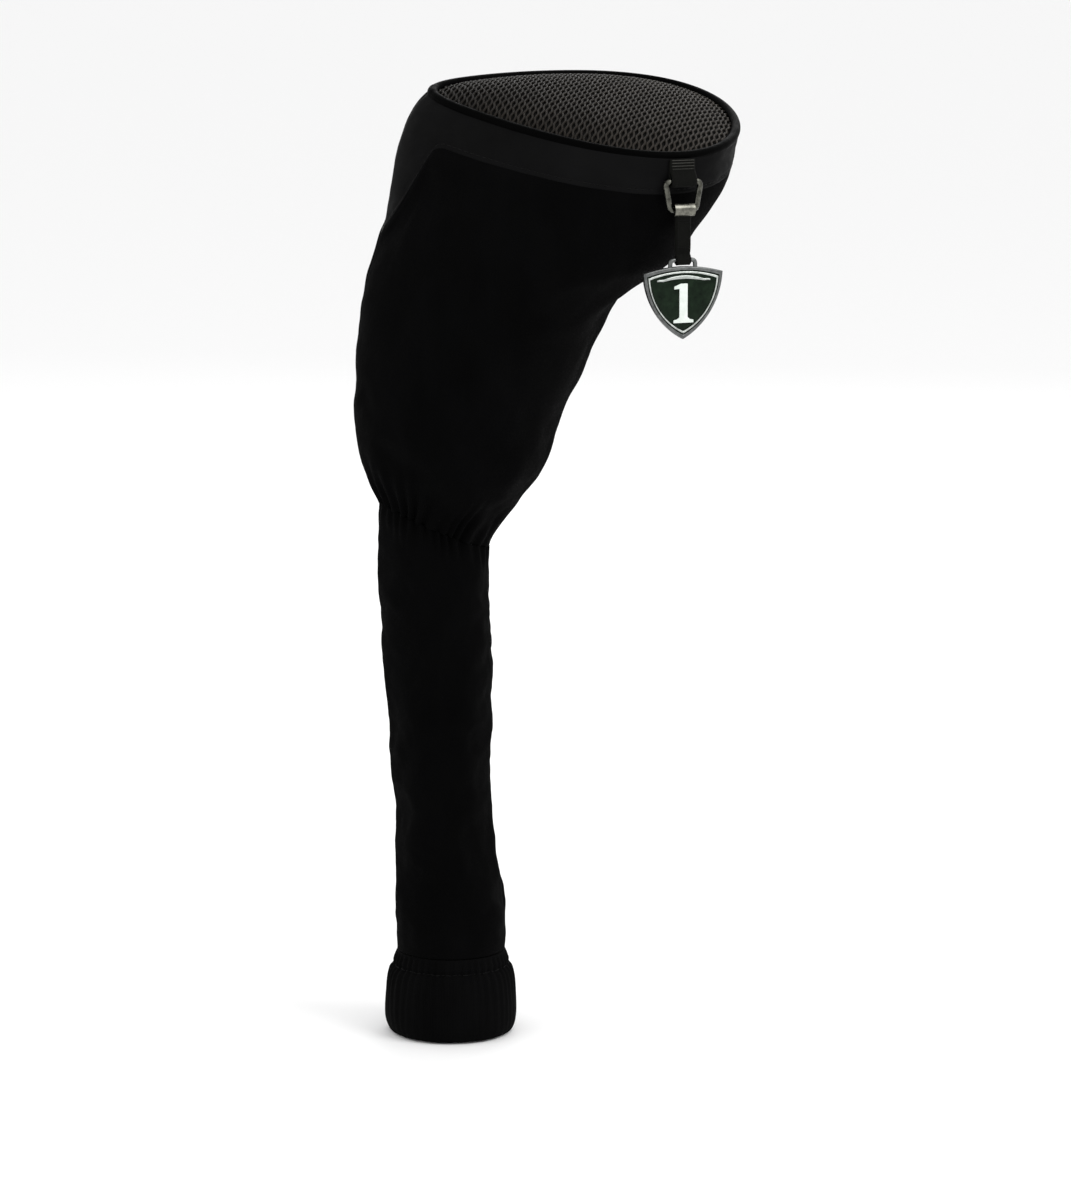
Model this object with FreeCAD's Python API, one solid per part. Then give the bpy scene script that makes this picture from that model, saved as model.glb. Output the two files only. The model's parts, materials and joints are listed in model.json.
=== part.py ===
"""Long-neck driver head cover: a padded oval crown over a sewn head pocket, an elastic neck,
a shaft sock with a rolled cuff, and a number tag hung from a ring on the band.

Frame: millimetres, +Z up along the club's shaft, origin at the centre of the cuff's mouth,
+X towards the toe of the club head, -Y towards the front, where the tag hangs.
"""

import FreeCAD, Part
import math
import os
from collections import namedtuple

V = FreeCAD.Vector

# ---- driving dimensions -------------------------------------------------------------------
KNIT = 3.0              # foam-backed knit of the pocket and the sock
BAND_CLOTH = 1.2        # smooth cloth of the side band
LINING = 1.2            # soft lining of the pocket
CROWN_RISE = 7.0        # how far the crown domes above its rim
CROWN_CLOTH = 1.8       # ribbed mesh of the crown
CROWN_PAD_DEPTH = 4.0   # crown foam below the rim
CROWN_PAD_GAP = 0.2     # between the foam and the pocket's lining
CROWN_PAD_TAPER = 1.8   # how much narrower the foam's foot is than its top
CROWN_EDGE = 1.0        # from the rim in to the edge of the crown's mesh
CROWN_FLATNESS = 3.2    # power of the dome's curve: higher is flatter in the middle
CROWN_LINING_STEP = 0.5
PIPING_RADIUS = 2.0
PIPING_CORD_RADIUS = 1.2
PIPING_INSET = 1.4
PIPING_LIFT = 0.9       # height of the piping's centre above the rim
BAND_HEIGHT = 14.8      # from the rim to the band's lower edge
TONGUE_TIP = (-27.5, 341.0)   # x and z of the lowest point of the band's heel tongue
TONGUE_SHOULDER_X = -4.5      # where the tongue leaves the band's straight edge
TONGUE_SHOULDER_RADIUS = 7.0
BARTACK = (0.6, 7.0, 4.0)     # thickness, width and height of the stitching at the tongue's tip
NECK_ELASTIC_THICKNESS = 1.4
NECK_ELASTIC_GAP = 0.3
NECK_ELASTIC_TOP = 7.0  # where the lining starts above the neck's seam

CUFF_TOP = 36.0
CUFF_MOUTH_RADIUS = 21.0
CUFF_LINER = 2.0        # inner ply of the cuff
CUFF_ELASTIC = 1.6
CUFF_LINER_TOP = 30.0
CUFF_FOLD = 4.0         # depth of cloth folded under the cuff's elastic

TAG_YAW = 22.0          # turn of the ring, strap and tag towards the toe
TAB_TOP_Z = 374.6
TAB_CENTRE_X = 95.5
TAB_WIDTH = 11.0
TAB_HEIGHT = 9.0        # above the ring's bar
TAB_FREE = 4.2          # the lower part, which isn't stitched down
TAB_BACKING = 3.0       # the stitched part is this thick before the band's surface cuts it
TAB_STAND_OFF = 0.8     # between the tab's loop and the band
TACK_ROWS = (5.2, 6.4, 7.6)   # heights of the tab's stitching above the ring's bar
WEBBING = 1.2
THREAD_RADIUS = 0.22
THREAD_LENGTH = 0.8
THREAD_SPACE = 0.35
RING_WIRE = 1.2         # radius of the ring's wire
RING_TOP_WIDTH = 15.6   # between the centres of the wire
RING_BOTTOM_WIDTH = 11.4
RING_HEIGHT = 11.4
RING_CORNER = 1.8
STRAP_WIDTH = 6.4
STRAP_LENGTH = 20.4     # between the two bars that it loops round
RUNNING_GAP = 0.08      # between a bar and the loop that turns on it
STRAP_SEAM = 3.8        # from each bar to the stitching across the strap
CLIP_WIDTH = 8.8        # metal plate over the front of the strap's upper loop
CLIP_METAL = 0.5
CLIP_SPREAD = 58.0      # degrees that it covers above and below the loop's middle
BAIL_WIRE = 0.9
BAIL_ROOT = 1.2         # how far its legs run into the shield
BAIL_WIDTH = 11.0
BAIL_RISE = 2.6         # height of the bail's bar above the shield's top edge
SHIELD_WIDTH = 34.8
SHIELD_HEIGHT = 29.6
SHIELD_THICKNESS = 2.4
SHIELD_CROWN = 2.4      # rise of the top edge's middle above its corners
SHIELD_RIM = 1.5        # width of the raised border
SHIELD_LINE = (1.9, 2.7)  # where the thin inner line of the border starts and stops
ENAMEL_RECESS = 0.9
ENAMEL_DEPTH = 0.5
RELIEF = 0.5            # height of the number and the arch above the enamel
NUMBER_HEIGHT = 16.0
NUMBER_STEM = 3.6
NUMBER_FOOT = 8.8
NUMBER_DROP = 12.5      # from the shield's corners down to the number's middle
ARCH = (10.4, 1.3, 1.3)  # half length, rise and thickness of the plain arch
ARCH_DROP = 2.4

FAR = 600.0             # past the whole object

# ---- the skin's stations ------------------------------------------------------------------
# Each is a closed oval through a heel point and a toe point in the plane of symmetry, with its
# half depth, the pitch that lifts its back edge, and how much fuller it is towards the toe.
Station = namedtuple("Station", "heel toe half_depth pitch fullness")
RIM = Station((-8.0, 397.7), (119.8, 383.0), 47.0, 14.5, 0.42)
NECK = Station((-29.0, 228.0), (16.6, 209.0), 20.5, 0.0, 0.0)
POCKET = [
    RIM,
    Station((-16.4, 387.0), (117.6, 374.0), 48.6, 15.0, 0.38),
    Station((-22.2, 367.0), (111.5, 359.0), 49.2, 14.0, 0.32),
    Station((-26.2, 345.0), (101.5, 343.5), 48.0, 12.0, 0.26),
    Station((-31.0, 328.0), (91.0, 331.0), 45.6, 10.0, 0.20),
    Station((-34.8, 314.0), (72.5, 315.0), 43.4, 8.0, 0.14),
    Station((-37.5, 298.0), (63.0, 298.5), 41.0, 6.0, 0.09),
    Station((-38.7, 279.0), (54.6, 279.0), 38.4, 4.0, 0.05),
    Station((-38.4, 258.0), (45.8, 257.0), 34.5, 2.0, 0.0),
    Station((-35.0, 241.0), (36.4, 236.5), 28.8, 0.0, 0.0),
    Station((-31.2, 233.0), (24.6, 222.0), 23.6, 0.0, 0.0),
    NECK,
]
SOCK = [
    NECK,
    Station((-30.0, 205.0), (16.2, 192.0), 20.5, 0.0, 0.0),
    Station((-29.0, 170.0), (17.6, 165.0), 20.8, 0.0, 0.0),
    Station((-26.2, 130.0), (17.5, 128.0), 20.5, 0.0, 0.0),
    Station((-23.6, 85.0), (19.0, 85.0), 20.6, 0.0, 0.0),
    Station((-22.8, CUFF_TOP), (22.8, CUFF_TOP), 22.8, 0.0, 0.0),
]
ELASTIC = [
    Station((-29.3, 234.0), (17.3, 215.0), 20.6, 0.0, 0.0),
    NECK,
    Station((-29.1, 222.0), (16.0, 203.0), 20.2, 0.0, 0.0),
]
OVAL_POINTS = 20


def oval_axes(station):
    """The station's middle, half length, and its unit vectors towards the toe, the back and up."""
    heel = V(station.heel[0], 0, station.heel[1])
    toe = V(station.toe[0], 0, station.toe[1])
    along = (toe - heel).normalize()
    level_up = V(-along.z, 0, along.x)
    pitch = math.radians(station.pitch)
    back = V(0, math.cos(pitch), 0) + level_up * math.sin(pitch)
    return (heel + toe) * 0.5, (toe - heel).Length / 2, along, back, along.cross(back)


def oval(station, inset=0.0, lift=0.0, shrink=1.0):
    """The station's outline, taken in by inset, lifted off its plane, and shrunk about its middle."""
    middle, half_length, along, back, up = oval_axes(station)
    points = []
    for k in range(OVAL_POINTS):
        turn = math.pi / 2 + 2 * math.pi * k / OVAL_POINTS
        u = (half_length - inset) * math.cos(turn) * shrink
        v = (station.half_depth - inset) * math.sin(turn) * shrink
        v *= 1 + station.fullness * math.cos(turn)
        points.append(middle + along * u + back * v + up * lift)
    curve = Part.BSplineCurve()
    curve.interpolate(Points=points, PeriodicFlag=True)
    return Part.Wire([curve.toShape()])


def skin(stations, inset):
    """A solid bounded by the cover's outside between those stations, taken in by inset."""
    return Part.makeLoft([oval(s, inset) for s in stations], True, False)


def ply(stations, outer_inset, inner_inset, front):
    """The front or back half of one ply of cloth between two insets of the skin."""
    here = half(front)
    return skin(stations, outer_inset).common(here).cut(skin(stations, inner_inset).common(here))


def sleeve(stations, outer_inset, inner_inset):
    """A whole tube of cloth between two insets of the skin, open at both ends."""
    faces = []
    for inset in (outer_inset, inner_inset):
        faces += Part.makeLoft([oval(s, inset) for s in stations], False, False).Faces
    for station in (stations[0], stations[-1]):
        rims = [oval(station, outer_inset), oval(station, inner_inset)]
        faces.append(Part.makeFace(rims, "Part::FaceMakerBullseye"))
    shell = Part.makeShell(faces)
    shell.sewShape()
    tube = Part.Solid(shell)
    if tube.Volume < 0:
        tube.reverse()
    return tube


# ---- regions that cut the plies into panels -----------------------------------------------
def half(front):
    """Everything in front of, or behind, the plane of the side seams."""
    return Part.makeBox(2 * FAR, FAR, 2 * FAR, V(-FAR, -FAR if front else 0, -FAR))


def side_of_neck(above, shift=0.0):
    """Everything above, or below, the neck's slanting seam moved up by shift."""
    middle, _, along, _, up = oval_axes(NECK)
    box = Part.makeBox(2 * FAR, 2 * FAR, FAR, V(-FAR, -FAR, 0 if above else -FAR))
    box.rotate(V(0, 0, 0), V(0, 1, 0), -math.degrees(math.atan2(along.z, along.x)))
    box.translate(middle + up * shift)
    return box


def band_region():
    """Everything above the band's lower edge: level with the rim, with a tongue at the heel."""
    middle, _, along, back, up = oval_axes(RIM)
    edge = middle - up * BAND_HEIGHT
    slope = along.z / along.x

    def on_edge(x):
        return V(x, 0, edge.z + (x - edge.x) * slope)

    tip = V(TONGUE_TIP[0], 0, TONGUE_TIP[1])
    shoulder = on_edge(TONGUE_SHOULDER_X)
    down = (tip - shoulder).normalize()
    turn = math.acos(down.dot(along))
    reach = TONGUE_SHOULDER_RADIUS / math.tan(turn / 2)
    start, end = shoulder + along * reach, shoulder + down * reach
    inward = (along + down).normalize()
    centre = shoulder + inward * (TONGUE_SHOULDER_RADIUS / math.sin(turn / 2))
    on_arc = centre - inward * TONGUE_SHOULDER_RADIUS
    far_toe, far_heel = on_edge(FAR / 2), V(-FAR / 2, 0, tip.z)
    wire = Part.Wire([
        Part.makeLine(far_toe, start),
        Part.Arc(start, on_arc, end).toShape(),
        Part.makeLine(end, tip),
        Part.makeLine(tip, far_heel),
        Part.makeLine(far_heel, V(far_heel.x, 0, FAR)),
        Part.makeLine(V(far_heel.x, 0, FAR), V(far_toe.x, 0, FAR)),
        Part.makeLine(V(far_toe.x, 0, FAR), far_toe),
    ])
    region = Part.Face(wire).extrude(back * FAR)
    region.translate(back * -FAR / 2)
    return region


# ---- crown --------------------------------------------------------------------------------
def dome(inset, rise):
    """A low flat-bottomed dome on the rim, taken in by inset."""
    shares = [1.0, 0.96, 0.9, 0.8, 0.65, 0.45, 0.2]
    wires = [oval(RIM, inset, rise * (1 - s ** CROWN_FLATNESS), s) for s in shares]
    return Part.makeLoft(wires, True, False)


def ring_of(radius):
    """A round cord of that radius laid along the rim."""
    path = oval(RIM, PIPING_INSET, PIPING_LIFT)
    edge = path.Edges[0]
    start = edge.valueAt(edge.FirstParameter)
    heading = edge.tangentAt(edge.FirstParameter)
    section = Part.Wire([Part.Circle(start, heading, radius).toShape()])
    pipe = path.makePipeShell([section], True, True)
    return Part.Solid(Part.Shell(pipe.Faces)) if not pipe.Solids else pipe.Solids[0]


def crown_parts(piping):
    inset = KNIT + LINING + CROWN_PAD_GAP
    foot_inset = inset + CROWN_PAD_TAPER
    pad_rise = CROWN_RISE - CROWN_CLOTH
    pad = dome(inset, pad_rise)
    cloth = dome(CROWN_EDGE, CROWN_RISE).cut(pad).cut(piping)
    sole = oval(RIM, foot_inset, -CROWN_PAD_DEPTH)
    foot = Part.makeLoft([sole, oval(RIM, inset, 0)], True, True)
    under = oval(RIM, foot_inset + CROWN_LINING_STEP, -CROWN_PAD_DEPTH - LINING)
    return {
        "crown_mesh_panel": cloth,
        "crown_foam_pad": pad.fuse(foot).removeSplitter(),
        "crown_lining": Part.makeLoft([under, sole], True, True),
    }


# ---- band, pocket and sock ----------------------------------------------------------------
def sewn_parts(piping):
    band = band_region()
    above_elastic = side_of_neck(True, NECK_ELASTIC_TOP)
    parts = {}
    for side, front in (("front", True), ("back", False)):
        parts["band_" + side] = ply(POCKET, 0, BAND_CLOTH, front).common(band).cut(piping)
        padding = ply(POCKET, BAND_CLOTH, KNIT, front).common(band)
        parts["band_padding_" + side] = padding.cut(piping)
        parts["pocket_" + side] = ply(POCKET, 0, KNIT, front).cut(band)
        parts["sock_" + side] = ply(SOCK, 0, KNIT, front)
        lining = ply(POCKET, KNIT, KNIT + LINING, front).common(above_elastic)
        parts["lining_" + side] = lining.cut(piping)
    inside = KNIT + NECK_ELASTIC_GAP
    parts["neck_elastic"] = sleeve(ELASTIC, inside, inside + NECK_ELASTIC_THICKNESS)
    return parts


def heel_bartack():
    """The close stitching that ends the tongue, lying on the cloth at the heel."""
    thickness, width, height = BARTACK
    x, z = TONGUE_TIP
    block = Part.makeBox(20, width, height, V(x - 10, -width / 2, z - height / 2))
    return skin(POCKET, -thickness).common(block).cut(skin(POCKET, 0))


# ---- cuff ---------------------------------------------------------------------------------
def turned(points, curved=()):
    """A ring turned about the shaft's axis from an outline; curved is its outer stretch."""
    edges = []
    if curved:
        curve = Part.BSplineCurve()
        curve.interpolate(Points=[V(r, 0, z) for r, z in curved])
        edges.append(curve.toShape())
        points = [curved[-1]] + points + [curved[0]]
    else:
        points = points + [points[0]]
    for a, b in zip(points, points[1:]):
        edges.append(Part.makeLine(V(a[0], 0, a[1]), V(b[0], 0, b[1])))
    return Part.Face(Part.Wire(edges)).revolve(V(0, 0, 0), V(0, 0, 1), 360)


def cuff_parts():
    liner_outside = CUFF_MOUTH_RADIUS + CUFF_LINER
    elastic_outside = liner_outside + CUFF_ELASTIC
    sock_outside = SOCK[-1].half_depth
    roll = [
        (sock_outside, CUFF_TOP), (24.2, 31.5), (26.4, 26.0), (27.6, 18.0),
        (28.0, 9.0), (27.0, 2.6), (25.2, 0.2), (liner_outside, 0.0),
    ]
    shell = turned([
        (liner_outside, CUFF_FOLD), (elastic_outside, CUFF_FOLD), (elastic_outside, 26.0),
        (liner_outside, CUFF_LINER_TOP), (sock_outside - KNIT, CUFF_TOP),
    ], roll)
    liner = turned([
        (CUFF_MOUTH_RADIUS, 0), (liner_outside, 0),
        (liner_outside, CUFF_LINER_TOP), (CUFF_MOUTH_RADIUS, CUFF_LINER_TOP),
    ])
    elastic = turned([
        (liner_outside, CUFF_FOLD), (elastic_outside, CUFF_FOLD),
        (elastic_outside, 26.0), (liner_outside, 26.0),
    ])
    return {"cuff": shell, "cuff_liner": liner, "cuff_elastic": elastic}


# ---- ring, strap and tag ------------------------------------------------------------------
# They are drawn in a flat local frame: x across, y away from the front, z up, with the ring's
# top bar through the origin, and then put in place.
def hardware_origin(surface):
    """Where the ring's top bar crosses the middle of the tab, just in front of the band."""
    facing = V(math.sin(math.radians(TAG_YAW)), -math.cos(math.radians(TAG_YAW)), 0)
    middle = V(TAB_CENTRE_X, -RIM.half_depth, TAB_TOP_Z - TAB_HEIGHT)
    ray = Part.makeLine(middle - facing * RIM.half_depth, middle + facing * RIM.half_depth)
    inside = ray.common(surface)
    hit = max((v.Point for v in inside.Vertexes), key=lambda p: (p - middle).dot(facing))
    return hit + facing * (RING_WIRE + RUNNING_GAP + WEBBING + TAB_STAND_OFF)


def placed(shape, origin):
    shape = shape.copy()
    shape.rotate(V(0, 0, 0), V(0, 0, 1), TAG_YAW)
    shape.translate(origin)
    return shape


def disc(radius, width, z, y=0.0):
    """A round bar across x, centred on x = 0."""
    return Part.makeCylinder(radius, width, V(-width / 2, y, z), V(1, 0, 0))


def plate(width, y_low, y_high, z_low, z_high):
    corner = V(-width / 2, y_low, z_low)
    return Part.makeBox(width, y_high - y_low, z_high - z_low, corner)


def rounded_loop(corners, fillet, wire_radius):
    """A bent wire ring in the x-z plane through those corners, in order."""
    count = len(corners)
    edges = []
    starts, ends = [], []
    for k, corner in enumerate(corners):
        before = (corners[k - 1] - corner).normalize()
        after = (corners[(k + 1) % count] - corner).normalize()
        angle = before.getAngle(after)
        reach = fillet / math.tan(angle / 2)
        bisector = (before + after).normalize()
        centre = corner + bisector * (fillet / math.sin(angle / 2))
        starts.append(corner + before * reach)
        ends.append(corner + after * reach)
        edges.append(Part.Arc(starts[k], centre - bisector * fillet, ends[k]).toShape())
    for k in range(count):
        edges.insert(2 * k + 1, Part.makeLine(ends[k], starts[(k + 1) % count]))
    pieces = []
    for edge in edges:
        first = edge.valueAt(edge.FirstParameter)
        circle = Part.Circle(first, edge.tangentAt(edge.FirstParameter), wire_radius)
        section = Part.Face(Part.Wire([circle.toShape()]))
        if isinstance(edge.Curve, Part.Circle):
            turn = math.degrees(edge.LastParameter - edge.FirstParameter)
            pieces.append(section.revolve(edge.Curve.Center, edge.Curve.Axis, turn))
        else:
            pieces.append(section.extrude(edge.valueAt(edge.LastParameter) - first))
    return pieces[0].fuse(pieces[1:]).removeSplitter()


def ring():
    top, bottom = RING_TOP_WIDTH / 2, RING_BOTTOM_WIDTH / 2
    corners = [V(-top, 0, 0), V(top, 0, 0), V(bottom, 0, -RING_HEIGHT), V(-bottom, 0, -RING_HEIGHT)]
    return rounded_loop(corners, RING_CORNER, RING_WIRE)


def tab():
    """Webbing that comes down from its stitching, round the ring's bar and back up."""
    bar = RING_WIRE + RUNNING_GAP
    outside = bar + WEBBING
    face = outside - 2 * WEBBING
    back = outside + TAB_BACKING
    side = [(-outside, 0), (face, TAB_FREE), (face, TAB_HEIGHT), (back, TAB_HEIGHT),
            (back, TAB_FREE), (outside, TAB_FREE), (outside, 0), (-outside, 0)]
    legs = Part.Face(Part.makePolygon([V(-TAB_WIDTH / 2, y, z) for y, z in side]))
    legs = legs.extrude(V(TAB_WIDTH, 0, 0))
    loop = disc(outside, TAB_WIDTH, 0)
    return loop.fuse(legs).removeSplitter().cut(disc(bar, 2 * TAB_WIDTH, 0))


def strap():
    """A strap folded double, looped round the ring's lower bar and round the tag's bail."""
    top_bar, low_bar = RING_WIRE + RUNNING_GAP, BAIL_WIRE + RUNNING_GAP
    body = disc(top_bar + WEBBING, STRAP_WIDTH, 0)
    body = body.fuse([
        disc(low_bar + WEBBING, STRAP_WIDTH, -STRAP_LENGTH),
        plate(STRAP_WIDTH, -WEBBING, WEBBING, -STRAP_LENGTH, 0),
    ])
    holes = disc(top_bar, 2 * STRAP_WIDTH, 0).fuse(disc(low_bar, 2 * STRAP_WIDTH, -STRAP_LENGTH))
    return body.removeSplitter().cut(holes)


def clip():
    """A pressed metal plate curved over the front of the strap's upper loop."""
    inside = RING_WIRE + RUNNING_GAP + WEBBING
    wall = disc(inside + CLIP_METAL, CLIP_WIDTH, 0).cut(disc(inside, 2 * CLIP_WIDTH, 0))
    spread = math.radians(CLIP_SPREAD)
    reach = 2 * (inside + CLIP_METAL)
    side, front = reach * math.sin(spread), -reach * math.cos(spread)
    wedge = [(0, 0), (front, -side), (-reach, -side), (-reach, side), (front, side), (0, 0)]
    sector = Part.Face(Part.makePolygon([V(-CLIP_WIDTH, y, z) for y, z in wedge]))
    return wall.common(sector.extrude(V(2 * CLIP_WIDTH, 0, 0)))


def thread_rows(rows, count, face_y):
    """Stitches on a face that looks to the front: rows of short round threads at these heights."""
    pitch = THREAD_LENGTH + THREAD_SPACE
    threads = []
    for z in rows:
        for k in range(count):
            x = (k - (count - 1) / 2) * pitch - THREAD_LENGTH / 2
            start = V(x, face_y - THREAD_RADIUS, z)
            threads.append(Part.makeCylinder(THREAD_RADIUS, THREAD_LENGTH, start, V(1, 0, 0)))
    return Part.makeCompound(threads)


def shield_outline(inset):
    """A heater shield: an arched top edge, and two sides that curve in to a point."""
    half_width = SHIELD_WIDTH / 2 - inset
    corner_z = -inset
    tip_z = -(SHIELD_HEIGHT - SHIELD_CROWN) + inset * 1.25
    crown_z = SHIELD_CROWN - inset
    left, right, tip = V(-half_width, 0, corner_z), V(half_width, 0, corner_z), V(0, 0, tip_z)
    belly = V(half_width * 0.76, 0, corner_z + (tip_z - corner_z) * 0.53)
    return Part.Wire([
        Part.Arc(left, V(0, 0, crown_z), right).toShape(),
        Part.Arc(right, belly, tip).toShape(),
        Part.Arc(tip, V(-belly.x, 0, belly.z), left).toShape(),
    ])


def slab(wire, y_front, y_back):
    face = Part.Face(wire)
    face.translate(V(0, y_front, 0))
    return face.extrude(V(0, y_back - y_front, 0))


def bail():
    """The staple on the shield's top edge that the strap loops round."""
    side = BAIL_WIDTH / 2
    length = BAIL_RISE + BAIL_ROOT
    legs = [Part.makeCylinder(BAIL_WIRE, length, V(x, 0, -length)) for x in (-side, side)]
    caps = [Part.makeSphere(BAIL_WIRE, V(x, 0, 0)) for x in (-side, side)]
    return disc(BAIL_WIRE, BAIL_WIDTH, 0).fuse(legs + caps)


def numeral_one():
    """The club's number: a stem with a flag at its head and a foot across."""
    stem, foot, height = NUMBER_STEM / 2, NUMBER_FOOT / 2, NUMBER_HEIGHT
    outline = [
        (-foot, 0), (foot, 0), (foot, 1.2), (stem + 1.1, 1.5), (stem, 2.3), (stem, height),
        (-stem + 0.6, height), (-foot + 0.3, height - 1.1), (-foot + 0.3, height - 2.3),
        (-stem, height - 2.1), (-stem, 2.3), (-stem - 1.1, 1.5), (-foot, 1.2),
    ]
    points = [V(x, 0, z - height / 2) for x, z in outline]
    return Part.makePolygon(points + [points[0]])


def plain_arch():
    """A plain raised arch under the shield's top edge, with nothing on it."""
    reach, rise, thick = ARCH
    return Part.Wire([
        Part.Arc(V(-reach, 0, 0), V(0, 0, rise), V(reach, 0, 0)).toShape(),
        Part.makeLine(V(reach, 0, 0), V(reach, 0, -thick)),
        Part.Arc(V(reach, 0, -thick), V(0, 0, rise - thick), V(-reach, 0, -thick)).toShape(),
        Part.makeLine(V(-reach, 0, -thick), V(-reach, 0, 0)),
    ])


def tag_parts():
    """The shield with its bail's bar through the origin; its top edge hangs below that."""
    drop = V(0, 0, -BAIL_RISE - SHIELD_CROWN)
    front, back = -SHIELD_THICKNESS / 2, SHIELD_THICKNESS / 2
    body = slab(shield_outline(0), front, back)
    body = body.cut(slab(shield_outline(SHIELD_RIM), front - 1, front + ENAMEL_RECESS))
    body.translate(drop)
    body = body.fuse(bail())
    floor = front + ENAMEL_RECESS
    line_outer, line_inner = (shield_outline(inset) for inset in SHIELD_LINE)
    line = slab(line_outer, front + 0.1, floor).cut(slab(line_inner, front - 1, floor + 1))
    line.translate(drop)
    body = body.fuse(line).removeSplitter()
    field = slab(shield_outline(SHIELD_RIM), floor - ENAMEL_DEPTH, floor)
    face = floor - ENAMEL_DEPTH
    number = slab(numeral_one(), face - RELIEF, face)
    number.translate(V(0, 0, -NUMBER_DROP))
    arch = slab(plain_arch(), face - RELIEF, face)
    arch.translate(V(0, 0, -ARCH_DROP))
    for piece in (field, number, arch):
        piece.translate(drop)
    field = field.cut(line)
    return {"tag_shield": body, "tag_enamel": field, "tag_number": number, "tag_arch": arch}


def hung_parts(surface, piping):
    origin = hardware_origin(surface)
    low_bar = origin - V(0, 0, RING_HEIGHT)
    bail_bar = low_bar - V(0, 0, STRAP_LENGTH)
    print("ring bar at", origin, "strap at", low_bar, "bail at", bail_bar)
    tab_front = RING_WIRE + RUNNING_GAP - WEBBING
    tacks = thread_rows(TACK_ROWS, 6, tab_front)
    seams = thread_rows((-STRAP_SEAM, -STRAP_LENGTH + STRAP_SEAM), 5, -WEBBING)
    parts = {
        "ring_tab": placed(tab(), origin).cut(surface).cut(piping),
        "tab_bartack": placed(tacks, origin),
        "tag_ring": placed(ring(), origin),
        "tag_strap": placed(strap(), low_bar),
        "strap_clip": placed(clip(), low_bar),
        "strap_stitching": placed(seams, low_bar),
    }
    for name, shape in tag_parts().items():
        parts[name] = placed(shape, bail_bar)
    return parts


def main():
    os.makedirs("parts", exist_ok=True)
    for old in os.listdir("parts"):
        os.remove(os.path.join("parts", old))
    piping = ring_of(PIPING_RADIUS)
    cord = ring_of(PIPING_CORD_RADIUS)
    parts = {"piping_sleeve": piping.cut(cord), "piping_cord": cord}
    parts.update(crown_parts(piping))
    parts.update(sewn_parts(piping))
    parts["heel_bartack"] = heel_bartack()
    parts.update(cuff_parts())
    parts.update(hung_parts(skin(POCKET, 0), piping))
    for name, shape in sorted(parts.items()):
        solids = shape.Solids
        box = shape.BoundBox
        print(f"{name:22s} solids {len(solids):2d} valid {shape.isValid()} volume {shape.Volume:9.1f}"
              f"  x {box.XMin:6.1f} {box.XMax:6.1f} y {box.YMin:6.1f} {box.YMax:6.1f}"
              f" z {box.ZMin:6.1f} {box.ZMax:6.1f}", flush=True)
        piece = solids[0] if len(solids) == 1 else Part.makeCompound(solids)
        piece.exportStep(os.path.join("parts", name + ".step"))


main()
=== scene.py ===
# A long-neck golf driver cover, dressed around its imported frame.
# +Z is up the shaft, +X towards the toe, -Y is the front where the number tag hangs.
import json
import math
import bmesh
import bpy
import numpy as np
from mathutils import Matrix, Vector, noise
from mathutils.bvhtree import BVHTree


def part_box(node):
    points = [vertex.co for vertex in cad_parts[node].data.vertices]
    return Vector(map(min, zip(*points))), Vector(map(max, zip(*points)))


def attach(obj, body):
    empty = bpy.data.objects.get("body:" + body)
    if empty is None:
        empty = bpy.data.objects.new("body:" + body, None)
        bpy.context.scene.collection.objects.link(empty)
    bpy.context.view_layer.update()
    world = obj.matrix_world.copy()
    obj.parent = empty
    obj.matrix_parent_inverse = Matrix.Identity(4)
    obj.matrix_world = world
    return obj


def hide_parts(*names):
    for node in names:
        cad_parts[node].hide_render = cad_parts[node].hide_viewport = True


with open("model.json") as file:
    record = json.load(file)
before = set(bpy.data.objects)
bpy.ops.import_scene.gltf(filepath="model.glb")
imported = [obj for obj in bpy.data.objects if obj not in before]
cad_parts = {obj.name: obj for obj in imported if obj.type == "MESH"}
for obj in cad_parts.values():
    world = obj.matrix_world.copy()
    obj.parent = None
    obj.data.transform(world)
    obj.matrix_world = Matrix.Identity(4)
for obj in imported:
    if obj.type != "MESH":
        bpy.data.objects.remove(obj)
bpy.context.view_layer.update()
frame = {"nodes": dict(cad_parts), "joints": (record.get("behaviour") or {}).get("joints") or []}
mm = 0.001
worldY = Vector((0, 1, 0))
print("frame loaded:", len(frame["nodes"]), "nodes")


# small tools
def smoothStep(low, high, x):
    t = min(max((x - low) / (high - low), 0.0), 1.0)
    return t * t * (3 - 2 * t)


def treeOf(*nodes):
    bm = bmesh.new()
    for name in nodes:
        bm.from_mesh(frame["nodes"][name].data)
    tree = BVHTree.FromBMesh(bm)
    bm.free()
    return tree


def mergedCopy(name, node):
    bm = bmesh.new()
    bm.from_mesh(frame["nodes"][node].data)
    bmesh.ops.remove_doubles(bm, verts=bm.verts, dist=0.002 * mm)
    bmesh.ops.dissolve_limit(bm, angle_limit=math.radians(1), verts=bm.verts, edges=bm.edges)
    mesh = bpy.data.meshes.new(name)
    bm.to_mesh(mesh)
    bm.free()
    return addObject(name, mesh)


def addObject(name, mesh):
    obj = bpy.data.objects.new(name, mesh)
    bpy.context.collection.objects.link(obj)
    return obj


def meshFrom(name, points, faces, smooth=True):
    mesh = bpy.data.meshes.new(name)
    mesh.from_pydata([tuple(p) for p in points], [], faces)
    mesh.validate()
    for poly in mesh.polygons:
        poly.use_smooth = smooth
    return mesh


def gridFaces(rows, columns, closed=True, looped=False):
    # quads between rows of points; closed joins a row's ends, looped joins the last row to the first
    faces = []
    for r in range(rows if looped else rows - 1):
        n = (r + 1) % rows
        for c in range(columns if closed else columns - 1):
            d = (c + 1) % columns
            faces.append((r * columns + c, r * columns + d, n * columns + d, n * columns + c))
    return faces


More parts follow.
